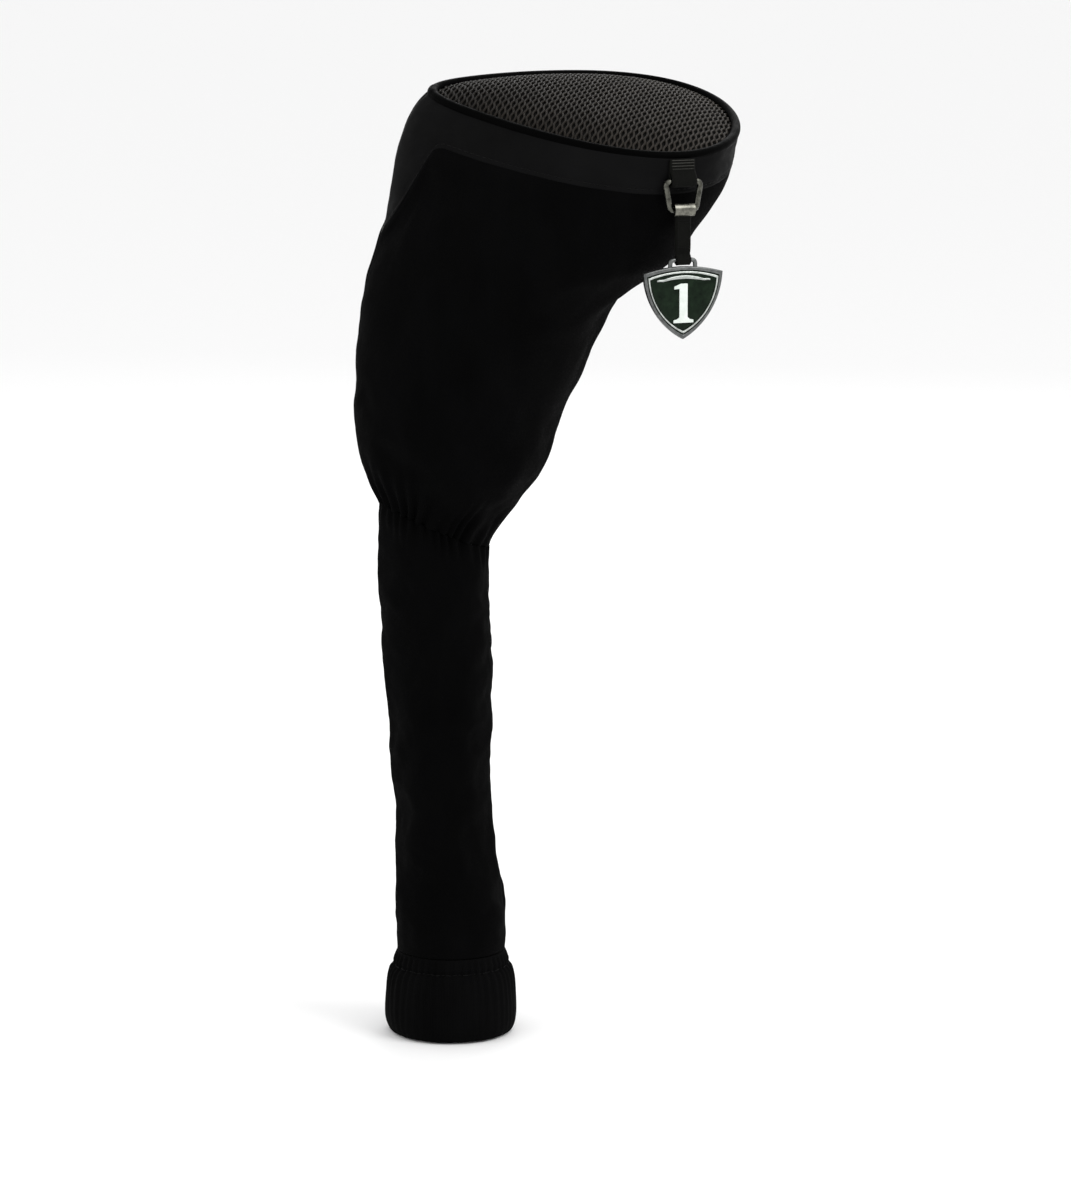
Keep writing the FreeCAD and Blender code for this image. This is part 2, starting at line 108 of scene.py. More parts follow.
def facesOut(obj):
    bm = bmesh.new()
    bm.from_mesh(obj.data)
    bmesh.ops.recalc_face_normals(bm, faces=bm.faces)
    bm.to_mesh(obj.data)
    bm.free()


def thicken(obj, thickness, offset=-1.0):
    solid = obj.modifiers.new("thickness", "SOLIDIFY")
    solid.thickness = thickness
    solid.offset = offset
    solid.use_even_offset = False
    return solid


def bake(obj):
    # turns an object with modifiers into a plain mesh
    bpy.context.view_layer.update()
    evaluated = obj.evaluated_get(bpy.context.evaluated_depsgraph_get())
    mesh = bpy.data.meshes.new_from_object(evaluated)
    obj.modifiers.clear()
    if obj.type != "MESH":
        name = obj.name
        bpy.data.objects.remove(obj)
        return addObject(name, mesh)
    obj.data = mesh
    return obj


def keepUv(mesh, uvs):
    # uvs holds one (u, v) in metres for every vertex
    layer = mesh.uv_layers.new(name="cloth")
    for loop in mesh.loops:
        layer.data[loop.index].uv = uvs[loop.vertex_index]


class Tree:
    # a thin wrapper round one Geometry Nodes group
    def __init__(self, name, **inputs):
        self.group = bpy.data.node_groups.new(name, "GeometryNodeTree")
        face = self.group.interface
        face.new_socket("Geometry", in_out="INPUT", socket_type="NodeSocketGeometry")
        for title, kind in inputs.items():
            face.new_socket(title.replace("_", " "), in_out="INPUT", socket_type="NodeSocket" + kind)
        face.new_socket("Geometry", in_out="OUTPUT", socket_type="NodeSocketGeometry")
        self.given = self.group.nodes.new("NodeGroupInput").outputs

    def put(self, kind, *inOrder, **named):
        # settings are in small letters; sockets go by number or by title
        node = self.group.nodes.new(kind)
        for key, value in named.items():
            if key[0].islower():
                setattr(node, key, value)
        sockets = list(enumerate(inOrder))
        sockets += [(key.replace("_", " "), value) for key, value in named.items() if key[0].isupper()]
        for socket, value in sockets:
            if isinstance(value, bpy.types.Node):
                value = value.outputs[0]
            if isinstance(value, bpy.types.NodeSocket):
                self.group.links.new(value, node.inputs[socket])
            elif value is not None:
                node.inputs[socket].default_value = value
        return node

    def calc(self, operation, *values):
        return self.put("ShaderNodeMath", *values, operation=operation)

    def end(self, shape, look):
        # everything made real, smooth and in its material
        real = self.put("GeometryNodeRealizeInstances", shape)
        smooth = self.put("GeometryNodeSetShadeSmooth", real)
        paint = self.put("GeometryNodeSetMaterial", smooth, Material=look)
        self.put("NodeGroupOutput", paint)
        return self.group


# materials
class Look:
    # a thin wrapper round one material's node tree
    def __init__(self, name):
        self.material = bpy.data.materials.new(name)
        self.material.use_nodes = True
        self.nodes = self.material.node_tree.nodes
        self.links = self.material.node_tree.links
        self.shader = self.nodes["Principled BSDF"]

    def put(self, kind, **sockets):
        node = self.nodes.new("ShaderNode" + kind)
        for key, value in sockets.items():
            if key in node.inputs:
                node.inputs[key].default_value = value
            else:
                setattr(node, key, value)
        return node

    def join(self, output, target):
        self.links.new(output, target)

    def place(self, source, scale, turn):
        mapping = self.put("Mapping")
        mapping.inputs["Scale"].default_value = scale
        mapping.inputs["Rotation"].default_value = turn
        self.join(source, mapping.inputs["Vector"])
        return mapping.outputs["Vector"]

    def objectPlace(self, scale=(1, 1, 1), turn=(0, 0, 0)):
        return self.place(self.put("TexCoord").outputs["Object"], scale, turn)

    def clothPlace(self, scale=(1, 1, 1), turn=(0, 0, 0)):
        return self.place(self.put("UVMap", uv_map="cloth").outputs["UV"], scale, turn)

    def noise(self, vector, scale, detail=3.0, roughness=0.55):
        node = self.put("TexNoise")
        node.inputs["Scale"].default_value = scale
        node.inputs["Detail"].default_value = detail
        node.inputs["Roughness"].default_value = roughness
        self.join(vector, node.inputs["Vector"])
        return node.outputs["Fac"]

    def wave(self, vector, scale, direction="X", distortion=0.0):
        node = self.put("TexWave")
        node.bands_direction = direction
        node.inputs["Scale"].default_value = scale
        node.inputs["Distortion"].default_value = distortion
        node.inputs["Detail"].default_value = 1.0
        self.join(vector, node.inputs["Vector"])
        return node.outputs["Fac"]

    def math(self, operation, a, b=None):
        node = self.put("Math")
        node.operation = operation
        for k, value in enumerate((a, b)):
            if value is None:
                continue
            if isinstance(value, (int, float)):
                node.inputs[k].default_value = value
            else:
                self.join(value, node.inputs[k])
        return node.outputs[0]

    def sum(self, *parts):
        # each part is an output, or an output with its weight
        whole = None
        for part in parts:
            if isinstance(part, tuple):
                part = self.math("MULTIPLY", *part)
            whole = part if whole is None else self.math("ADD", whole, part)
        return whole

    def cells(self, scale):
        node = self.put("TexVoronoi", Scale=scale)
        self.join(self.objectPlace(), node.inputs["Vector"])
        return node.outputs["Distance"]

    def parts(self, vector):
        node = self.put("SeparateXYZ")
        self.join(vector, node.inputs[0])
        return node.outputs

    def ramp(self, value, low, high, start=0.0, end=1.0):
        node = self.put("MapRange")
        node.inputs["From Min"].default_value = low
        node.inputs["From Max"].default_value = high
        node.inputs["To Min"].default_value = start
        node.inputs["To Max"].default_value = end
        self.join(value, node.inputs["Value"])
        return node.outputs["Result"]

    def tint(self, value, *colours):
        node = self.put("ValToRGB")
        stops = node.color_ramp.elements
        while len(stops) < len(colours):
            stops.new(0.5)
        for k, (place, colour) in enumerate(colours):
            stops[k].position = place
            stops[k].color = (*colour, 1)
        self.join(value, node.inputs["Fac"])
        return node.outputs["Color"]

    def finish(self, colour=None, rough=None, height=None, depth=0.1, distance=0.0002, **fixed):
        if isinstance(colour, tuple):
            self.shader.inputs["Base Color"].default_value = (*colour, 1)
        elif colour is not None:
            self.join(colour, self.shader.inputs["Base Color"])
        if isinstance(rough, (int, float)):
            self.shader.inputs["Roughness"].default_value = rough
        elif rough is not None:
            self.join(rough, self.shader.inputs["Roughness"])
        if height is not None:
            bump = self.put("Bump")
            bump.inputs["Strength"].default_value = depth
            bump.inputs["Distance"].default_value = distance
            self.join(height, bump.inputs["Height"])
            self.join(bump.outputs["Normal"], self.shader.inputs["Normal"])
        for key, value in fixed.items():
            self.shader.inputs[key.replace("_", " ")].default_value = value
        return self.material


def stockinetteKnit(name, dark, light, wale=0.9, course=0.65, sheen=0.004):
    # columns of small V stitches, with fluff and faint patches of wear
    look = Look(name)
    side = look.clothPlace((1 / (wale * mm), 1 / (course * mm), 1))
    split = look.put("SeparateXYZ")
    look.join(side, split.inputs[0])
    across = look.math("PINGPONG", split.outputs["X"], 0.5)
    slant = look.math("ADD", split.outputs["Y"], look.math("MULTIPLY", across, 1.3))
    stitch = look.math("SINE", look.math("MULTIPLY", slant, 2 * math.pi))
    rib = look.math("SINE", look.math("MULTIPLY", across, 2 * math.pi))
    height = look.math("ADD", look.math("MULTIPLY", stitch, 0.35), look.math("MULTIPLY", rib, 0.8))
    fluff = look.noise(look.objectPlace(), 5200, 2)
    patches = look.noise(look.objectPlace((1, 1, 0.5)), 38, 4)
    height = look.math("ADD", height, look.math("MULTIPLY", fluff, 0.9))
    shade = look.math("ADD", look.ramp(height, -0.6, 1.8), look.ramp(patches, 0.35, 0.7, -0.25, 0.3))
    colour = look.tint(shade, (0.0, dark), (1.0, light))
    rough = look.ramp(patches, 0.3, 0.7, 0.78, 0.94)
    return look.finish(colour, rough, height, 0.55, 0.12 * mm, Sheen_Weight=sheen, Sheen_Roughness=0.5,
                       Specular_IOR_Level=0.012)


def coatedCloth(name):
    # tight plain weave under a matt coating, scuffed a little lighter in places
    look = Look(name)
    place = look.clothPlace()
    weave = look.math("MAXIMUM", look.wave(place, 640, "X"), look.wave(place, 640, "Y"))
    crease = look.noise(look.objectPlace((1, 1, 1.6)), 120, 5, 0.6)
    scuff = look.noise(look.objectPlace(), 26, 3)
    shade = look.sum((weave, 0.25), look.ramp(scuff, 0.3, 0.75, 0.1, 0.7))
    colour = look.tint(shade, (0.0, (0.0016, 0.0016, 0.0016)), (1.0, (0.0050, 0.0050, 0.0052)))
    return look.finish(colour, look.ramp(crease, 0.3, 0.7, 0.52, 0.7), look.sum((weave, 0.5), (crease, 1.2)),
                       0.35, 0.08 * mm, Sheen_Weight=0.004, Sheen_Roughness=0.45, Specular_IOR_Level=0.025)


def tapeWeave(name, dark, light, pitch=0.55):
    # herringbone tape: the diagonal turns back down the middle
    look = Look(name)
    place = look.parts(look.clothPlace((1 / (pitch * mm), 1 / (pitch * mm), 1)))
    diagonal = look.sum(look.math("PINGPONG", place["X"], 2.0), place["Y"])
    twill = look.math("SINE", look.math("MULTIPLY", diagonal, 2 * math.pi))
    yarn = look.math("SINE", look.math("MULTIPLY", place["X"], 4 * math.pi))
    fluff = look.noise(look.objectPlace(), 3800, 2)
    height = look.sum((twill, 0.7), (yarn, 0.3), (fluff, 0.5))
    colour = look.tint(look.ramp(height, -0.8, 1.4), (0.0, dark), (1.0, light))
    return look.finish(colour, look.ramp(fluff, 0.3, 0.7, 0.6, 0.82), height, 0.6, 0.12 * mm,
                       Sheen_Weight=0.006, Specular_IOR_Level=0.04)


def biasTape(name):
    # smooth tape cut on the bias, so its weave crosses the cord at forty-five degrees
    look = Look(name)
    place = look.clothPlace(turn=(0, 0, math.radians(45)))
    weave = look.math("MAXIMUM", look.wave(place, 520, "X"), look.wave(place, 520, "Y"))
    pucker = look.noise(look.clothPlace(), 210, 3)
    colour = look.tint(look.math("MULTIPLY", weave, pucker), (0.0, (0.0003, 0.0003, 0.0003)),
                       (1.0, (0.0012, 0.0012, 0.0012)))
    return look.finish(colour, look.ramp(pucker, 0.3, 0.7, 0.42, 0.6), look.sum((weave, 0.5), pucker),
                       0.4, 0.1 * mm, Specular_IOR_Level=0.012)


def meshYarn(name):
    # the ribs of the crown: fine warm grey filament, paler where its fibres stand highest and in broad random
    # patches, with painted light that makes it darker at the heel and paler towards the toe
    look = Look(name)
    fine = look.noise(look.objectPlace((1, 0.25, 1)), 4200, 3)
    broad = look.noise(look.objectPlace(), 55, 4)
    height = look.sum(fine, (look.wave(look.objectPlace(), 900, "Y", 2.0), 0.6))
    # painted light: a ramp along x darkens the ribs at the heel and lightens them at the toe, in place of
    # light falling from the toe's side
    paintedLightToToe = look.parts(look.objectPlace())["X"]
    shade = look.sum(look.ramp(height, 0.5, 1.1, 0.0, 0.6), look.ramp(broad, 0.35, 0.65, 0.0, 0.16),
                     look.ramp(paintedLightToToe, -0.03, 0.11, -0.14, 0.36))
    colour = look.tint(shade, (0.0, (0.0030, 0.0024, 0.0017)), (0.6, (0.0115, 0.0095, 0.0072)),
                       (1.0, (0.041, 0.035, 0.029)))
    return look.finish(colour, look.ramp(fine, 0.3, 0.7, 0.45, 0.7), height, 0.5, 0.12 * mm,
                       Sheen_Weight=0.015, Sheen_Roughness=0.4, Specular_IOR_Level=0.06)


def backingCloth(name):
    # dark spacer cloth seen through the crown's holes
    look = Look(name)
    dots = look.cells(1300)
    patches = look.noise(look.objectPlace(), 90, 3)
    colour = look.tint(look.sum(dots, (patches, 0.4)), (0.1, (0.0012, 0.0011, 0.0009)),
                       (1.0, (0.005, 0.0047, 0.004)))
    return look.finish(colour, look.ramp(patches, 0.3, 0.7, 0.8, 0.95), dots, 0.5, 0.1 * mm,
                       Specular_IOR_Level=0.08)


def threadLook(name, dark, light):
    # two plies twisted together, a little dirty
    look = Look(name)
    ply = look.wave(look.objectPlace(turn=(0.5, 0.4, 0.6)), 1500, "DIAGONAL", 1.0)
    dirt = look.noise(look.objectPlace(), 700, 2)
    colour = look.tint(look.math("MULTIPLY", look.sum(ply, dirt), 0.5), (0.2, dark), (0.8, light))
    return look.finish(colour, look.ramp(dirt, 0.3, 0.7, 0.45, 0.65), ply, 0.5, 0.06 * mm,
                       Sheen_Weight=0.01, Specular_IOR_Level=0.08)


def nickelLook(name, dark, light, rough=(0.16, 0.34)):
    # plated wire: tarnish in patches, fine scratches along it
    look = Look(name)
    tarnish = look.noise(look.objectPlace(), 420, 5, 0.6)
    scratches = look.noise(look.objectPlace((1, 1, 12)), 900, 2)
    colour = look.tint(tarnish, (0.3, dark), (0.62, light))
    finish = look.sum(look.ramp(tarnish, 0.3, 0.7, *rough), look.ramp(scratches, 0.45, 0.75, 0.0, 0.14))
    return look.finish(colour, finish, scratches, 0.15, 0.03 * mm, Metallic=1.0)


def enamelLook(name, dark, light, rough, gloss):
    # glassy fill with a little mottling and orange peel
    look = Look(name)
    mottle = look.noise(look.objectPlace(), 330, 4, 0.6)
    peel = look.noise(look.objectPlace(), 900, 2)
    colour = look.tint(mottle, (0.3, dark), (0.7, light))
    return look.finish(colour, look.ramp(mottle, 0.3, 0.7, *rough), peel, 0.12, 0.05 * mm,
                       Coat_Weight=gloss, Coat_Roughness=0.12, Specular_IOR_Level=gloss)


def foamLook(name, dark, light):
    look = Look(name)
    cells = look.cells(900)
    return look.finish(look.tint(cells, (0.1, dark), (0.8, light)), 0.95, cells, 0.6, 0.2 * mm)


def elasticLook(name, dark, light):
    look = Look(name)
    weave = look.noise(look.objectPlace((1, 1, 4)), 1600, 2)
    height = look.sum(look.wave(look.objectPlace(), 260, "Z"), (weave, 0.4))
    colour = look.tint(height, (0.2, dark), (1.0, light))
    return look.finish(colour, look.ramp(weave, 0.3, 0.7, 0.6, 0.8), height, 0.5, 0.2 * mm, Sheen_Weight=0.1)


looks = {
    "knit": stockinetteKnit("black knit", (0.0004, 0.0004, 0.0004), (0.0022, 0.0022, 0.0023)),
    "cuffKnit": stockinetteKnit("cuff knit", (0.0005, 0.0005, 0.0005), (0.0030, 0.0030, 0.0031), 1.3, 0.8),
    "band": coatedCloth("band cloth"),
    "piping": biasTape("piping tape"),
    "rib": meshYarn("crown mesh yarn"),
    "backing": backingCloth("crown backing"),
    "webbing": tapeWeave("tag webbing", (0.0012, 0.0012, 0.0011), (0.0075, 0.0078, 0.0066)),
    "blackThread": threadLook("black thread", (0.0008, 0.0008, 0.0008), (0.0045, 0.0045, 0.0045)),
    "greyThread": threadLook("grey thread", (0.02, 0.02, 0.018), (0.09, 0.09, 0.08)),
    "ring": nickelLook("dark nickel", (0.018, 0.018, 0.015), (0.13, 0.13, 0.11)),
    "silver": nickelLook("antique silver", (0.075, 0.079, 0.078), (0.155, 0.161, 0.158), (0.28, 0.45)),
    "clip": nickelLook("bright nickel", (0.07, 0.07, 0.06), (0.20, 0.196, 0.168), (0.18, 0.32)),
    "paleLine": nickelLook("polished line", (0.34, 0.36, 0.34), (0.60, 0.63, 0.60), (0.25, 0.4)),
    "scroll": nickelLook("scroll silver", (0.27, 0.285, 0.27), (0.50, 0.53, 0.505), (0.28, 0.45)),
    "green": enamelLook("green enamel", (0.0022, 0.0060, 0.0028), (0.0075, 0.0165, 0.0080),
                        (0.26, 0.40), 0.06),
    "white": enamelLook("white enamel", (0.60, 0.66, 0.61), (0.74, 0.79, 0.75), (0.3, 0.45), 0.3),
    "lining": stockinetteKnit("lining jersey", (0.004, 0.004, 0.005), (0.016, 0.016, 0.018), 0.6, 0.5, 0.4),
    "foam": foamLook("crown foam", (0.05, 0.05, 0.05), (0.16, 0.16, 0.155)),
    "elastic": elasticLook("woven elastic", (0.006, 0.006, 0.006), (0.03, 0.03, 0.03)),
    "cord": foamLook("cotton cord", (0.16, 0.16, 0.14), (0.36, 0.35, 0.32)),
}
print("materials:", len(looks))


def wear(obj, *names):
    if len(obj.data.materials):     # clearing also forgets which face has which material
        obj.data.materials.clear()
    for name in names:
        obj.data.materials.append(looks[name])


# the cover's own planes and spine
def planeOf(node):
    # middle, toe, back and up of the flat ring that a node makes
    co = np.array([v.co for v in frame["nodes"][node].data.vertices])
    mean = co.mean(0)
    up = Vector(np.linalg.svd(co - mean, full_matrices=False)[2][2])
    if up.z < 0:
        up = -up
    toe = worldY.cross(up).normalized()
    back = up.cross(toe)
    axes = np.array((toe, back, up))
    own = co @ axes.T
    middle = (own.min(0) + own.max(0)) / 2
    return Vector(middle @ axes), toe, back, up


rimMiddle, rimToe, rimBack, rimUp = planeOf("piping_sleeve")
neckMiddle, _, _, neckUp = planeOf("neck_elastic")
crownPlace = Matrix.Translation(rimMiddle) @ Matrix((rimToe, rimBack, rimUp)).transposed().to_4x4()
rimPitch = math.asin(max(-1, min(1, -rimUp.y)))

spine = {
    "rimHandle": 42 * mm,
    "neckHandle": 52 * mm,
    "reach": 150 * mm,        # rays start this far outside
}


def spinePoint(t):
    # middle and directions of the section at t, from 0 at the rim to 1 at the neck's seam
    flatUp = worldY.cross(rimToe) * -1
    p0, p3 = Vector((rimMiddle.x, 0, rimMiddle.z)), Vector((neckMiddle.x, 0, neckMiddle.z))
    p1, p2 = p0 - flatUp * spine["rimHandle"], p3 + neckUp * spine["neckHandle"]
    s = 1 - t
    middle = p0 * s ** 3 + p1 * 3 * s * s * t + p2 * 3 * s * t * t + p3 * t ** 3
    heading = (p0 - p1) * 3 * s * s + (p1 - p2) * 6 * s * t + (p2 - p3) * 3 * t * t
    up = Vector((heading.x, 0, heading.z)).normalized()
    toe = worldY.cross(up).normalized()
    pitch = rimPitch * s ** 1.6
    back = worldY * math.cos(pitch) + up * math.sin(pitch)
    return middle, toe, back, toe.cross(back)


def sockPoint(t):
    # the same, from 0 at the neck's seam to 1 at the top of the cuff
    low = Vector((0, 0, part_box("cuff")[1].z))
    top = Vector((neckMiddle.x, 0, neckMiddle.z))
    lean = smoothStep(0.0, 0.6, t)
    up = neckUp.lerp(Vector((0, 0, 1)), lean).normalized()
    middle = top.lerp(low, t)
    middle.x = top.x + (low.x - top.x) * (t * 0.35 + 0.65 * t * t)
    toe = worldY.cross(up).normalized()
    return middle, toe, worldY.copy(), toe.cross(worldY)


def cast(tree, section, turn):
    # the first point of the tree met from outside, level with a section
    middle, toe, back, _ = section
    outward = toe * math.cos(turn) + back * math.sin(turn)
    return tree.ray_cast(middle + outward * spine["reach"], -outward, spine["reach"])


pocketTree = treeOf("pocket_front", "pocket_back", "band_front", "band_back")
bandTree = treeOf("band_front", "band_back")
sockTree = treeOf("sock_front", "sock_back")
cuffTree = treeOf("cuff")
spineLength = sum((spinePoint(k / 50)[0] - spinePoint((k + 1) / 50)[0]).length for k in range(50))
firstDepth = 5.0 * mm / spineLength    # above this the band runs up under the piping


def pocketPoint(t, turn):
    # a point of the pocket's outside, run on straight where the piping takes its place
    if t >= firstDepth:
        return cast(pocketTree, spinePoint(t), turn)[0]
    here = cast(pocketTree, spinePoint(firstDepth), turn)[0]
    below = cast(pocketTree, spinePoint(firstDepth * 1.6), turn)[0]
    return here + (here - below) * ((firstDepth - t) / (firstDepth * 0.6))


def onBand(t, turn):
    whole = cast(pocketTree, spinePoint(t), turn)[0]
    band = cast(bandTree, spinePoint(t), turn)[0]
    return band is not None and whole is not None and (band - whole).length < 0.3 * mm


def bandEdge(turn):
    # how far down the spine the band's lower edge is at that turn
    low, high = firstDepth, 0.5
    for _ in range(16):
        t = (low + high) / 2
        if onBand(t, turn):
            low = t
        else:
            high = t
    return low


columns = 240
turns = [2 * math.pi * k / columns for k in range(columns)]
edges = [bandEdge(turn) for turn in turns]
print("band edge from %.1f to %.1f mm below the rim"
      % (min(edges) * spineLength / mm, max(edges) * spineLength / mm))


def runOn(grid):
    # rays at the very ends pass the cloth by, so those rows carry on straight
    rows = len(grid)
    for c in range(grid.shape[1]):
        good = [r for r in range(rows) if not np.isnan(grid[r, c, 0])]
        first, last = good[0], good[-1]
        for r in range(first - 1, -1, -1):
            grid[r, c] = 2 * grid[r + 1, c] - grid[r + 2, c]
        for r in range(last + 1, rows):
            grid[r, c] = 2 * grid[r - 1, c] - grid[r - 2, c]
    return grid


def normalsOf(grid):
    # outward normals of a closed grid of points, rows by columns
    down = np.gradient(grid, axis=0)
    around = np.roll(grid, -1, axis=1) - np.roll(grid, 1, axis=1)
    normal = np.cross(down, around)
    length = np.linalg.norm(normal, axis=2, keepdims=True)
    normal /= np.maximum(length, 1e-12)
    middle = grid.mean(axis=1, keepdims=True)
    flip = np.sign(np.sum(normal * (grid - middle), axis=2, keepdims=True))
    return normal * np.where(flip == 0, 1, flip)


def clothUvs(grid):
    # metres round and metres down, measured on the cloth
    rows, cols = grid.shape[:2]
    down = np.zeros((rows, cols))
    down[1:] = np.cumsum(np.linalg.norm(np.diff(grid, axis=0), axis=2), axis=0)
    girth = np.linalg.norm(np.roll(grid, -1, axis=1) - grid, axis=2).sum(1).mean()
    uvs = []
    for r in range(rows):
        for c in range(cols):
            fold = min(c, cols - c) / cols    # counts up from the toe seam on both sides
            uvs.append((fold * girth, down[r, c]))
    return uvs


def shellFrom(name, grid, look):
    # a skin of cloth from a grid of points, with its cloth measure kept as a UV map
    rows, cols = grid.shape[:2]
    faces = [(a, b, c, d) for a, d, c, b in gridFaces(rows, cols)]
    mesh = meshFrom(name, grid.reshape(-1, 3), faces)
    keepUv(mesh, clothUvs(grid))
    obj = addObject(name, mesh)
    wear(obj, look)
    return obj


# how the soft pieces fill out
def clothOn(obj, held, values):
    # cloth held where it is sewn, with pressure behind it and no weight
    group = obj.vertex_groups.new(name="sewn")
    group.add(held, 1.0, "REPLACE")
    cloth = obj.modifiers.new("cloth", "CLOTH")
    settings = cloth.settings
    settings.quality = 6
    settings.tension_stiffness = values["stiffness"]
    settings.compression_stiffness = values["stiffness"]
    settings.use_pressure = True
    settings.uniform_pressure_force = values["pressure"]
    settings.vertex_group_mass = "sewn"
    settings.effector_weights.gravity = 0
    cloth.collision_settings.use_collision = False
    return settings


def runCloth(frames, obj):
    # steps the cloth and gives where its points end up
    scene = bpy.context.scene
    for number in range(1, frames + 1):
        scene.frame_set(number)
    shape = obj.evaluated_get(bpy.context.evaluated_depsgraph_get()).data
    ended = [v.co.copy() for v in shape.vertices]
    obj.modifiers.clear()
    scene.frame_set(1)
    return ended


def fillOut(name, grid, values, sewn):
    # the grid as cloth, held where it is sewn and pressed out from inside: gives each point's move
    rows, cols = grid.shape[:2]
    every = values["coarse"]
    rowPicks = list(range(0, rows - 1, every)) + [rows - 1]
    colPicks = list(range(0, cols, every))
    coarse = grid[np.ix_(rowPicks, colPicks)]
    faces = [(a, b, c, d) for a, d, c, b in gridFaces(len(rowPicks), len(colPicks))]
    obj = addObject(name, meshFrom(name, coarse.reshape(-1, 3), faces))
    held = [i * len(colPicks) + k for i, r in enumerate(rowPicks)
            for k, c in enumerate(colPicks) if sewn(r, c)]
    settings = clothOn(obj, held, values)
    settings.shear_stiffness = values["stiffness"] / 2
    settings.bending_stiffness = 0.6
    settings.mass = 0.25
    settings.shrink_min = -values["ease"]
    moved = np.array(runCloth(values["frames"], obj)).reshape(coarse.shape) - coarse
    bpy.data.objects.remove(obj)
    size = np.linalg.norm(moved, axis=2, keepdims=True)
    print("  %s fills out by %.2f mm on average, %.2f mm at most" % (name, size.mean() / mm, size.max() / mm))
    moved *= np.minimum(1, values["mostMove"] / np.maximum(size, 1e-9))
    # spread the moves back over the fine grid
    fine = np.zeros_like(grid)
    ring = np.concatenate([moved, moved[:, :1]], axis=1)
    colAt = np.arange(cols) / every
    left = np.minimum(colAt.astype(int), len(colPicks) - 1)
    share = (colAt - left)[None, :, None]
    wide = ring[:, left] * (1 - share) + ring[:, left + 1] * share
    for k in range(3):
        for c in range(cols):
            fine[:, c, k] = np.interp(np.arange(rows), rowPicks, wide[:, c, k])
    for _ in range(values["relax"]):
        beside = (np.roll(fine, 1, axis=1) + np.roll(fine, -1, axis=1)) / 2
        fine = (fine + beside) / 2
        fine[1:-1] = fine[1:-1] / 2 + (fine[:-2] + fine[2:]) / 4
    return fine


# pocket
pocketValues = {
    "coarse": 3,
    "stiffness": 6,
    "ease": 0.03,             # how much bigger the cloth was cut than the shape it fills
    "pressure": 3.0,
    "frames": 20,
    "mostMove": 2.2 * mm,
    "relax": 10,              # how often the cloth's small ripples are evened out
    "rows": 150,
    "tuckUnderBand": 3.5 * mm,
    "seamDepth": 0.9 * mm,
    "seamWidth": 1.6 * mm,
    "gatherHeight": 30 * mm,
    "gatherDepth": 1.5 * mm,
    "gathers": 30,
    "sag": 0.9 * mm,
}


def seamGroove(distance, along, values):
    # a sewn side seam pulls the cloth in, more at each stitch
    width = values["seamWidth"]
    pull = math.exp(-(distance / width) ** 2)
    pillow = 0.35 * math.exp(-((distance - 3.2 * width) / (1.8 * width)) ** 2)
    stitchPull = 0.82 + 0.18 * math.sin(along / (1.6 * mm) * math.pi)
    return values["seamDepth"] * (pillow - pull * stitchPull)


def makePocket():
    values = pocketValues
    rows = values["rows"]
    grid = np.zeros((rows, columns, 3))
    for c, turn in enumerate(turns):
        start = edges[c] - values["tuckUnderBand"] / spineLength
        for r in range(rows):
            share = r / (rows - 1)
            grid[r, c] = pocketPoint(start + (1 - start) * share, turn)
    runOn(grid)
    seams = (0, columns // 2)
    grid = grid + fillOut("pocket", grid, values, lambda r, c: r < 6 or r > rows - 4 or c in seams)
    normal = normalsOf(grid)
    moved = grid.copy()
    down = np.zeros((rows, columns))
    down[1:] = np.cumsum(np.linalg.norm(np.diff(grid, axis=0), axis=2), axis=0)
    for c, turn in enumerate(turns):
        for r in range(rows):
            point = grid[r, c]
            above = down[-1, c] - down[r, c]      # distance up from the neck's seam
            girth = np.linalg.norm(grid[r, (c + 1) % columns] - point) * columns
            fromToe = min(c, columns - c) / columns * girth
            fromHeel = abs(c - columns / 2) / columns * girth
            near = min(fromToe, fromHeel)
            push = seamGroove(near, down[r, c], values)
            fade = 1 - smoothStep(0, values["gatherHeight"], above)
            drift = noise.noise(Vector((math.cos(turn) * 1.7, math.sin(turn) * 1.7, above * 18))) * 1.6
            pleat = math.sin(values["gathers"] * turn + drift * 3.0) * (0.65 + 0.5 * drift)
            push += values["gatherDepth"] * fade ** 1.7 * (pleat - 0.15)
            soft = noise.fractal(Vector(point) * 26, 0.6, 2.1, 3)
            quiet = smoothStep(2 * mm, 20 * mm, down[r, c])
            push += values["sag"] * soft * quiet
            moved[r, c] = point + normal[r, c] * push
    pocket = shellFrom("pocket_knit", moved, "knit")
    thicken(pocket, 2.6 * mm)
    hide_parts("pocket_front", "pocket_back")
    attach(pocket, "cover")
    return moved


makePocket()
print("pocket sewn")


# side band
bandValues = {
    "rows": 34,
    "proud": 0.55 * mm,
    "turnedEdge": 1.1 * mm,
    "stitchInset": 2.2 * mm,
    "pucker": 0.16 * mm,
    "belowPiping": 0.4 * mm,
    "seamDepth": 0.55 * mm,
    "seamWidth": 1.1 * mm,
}


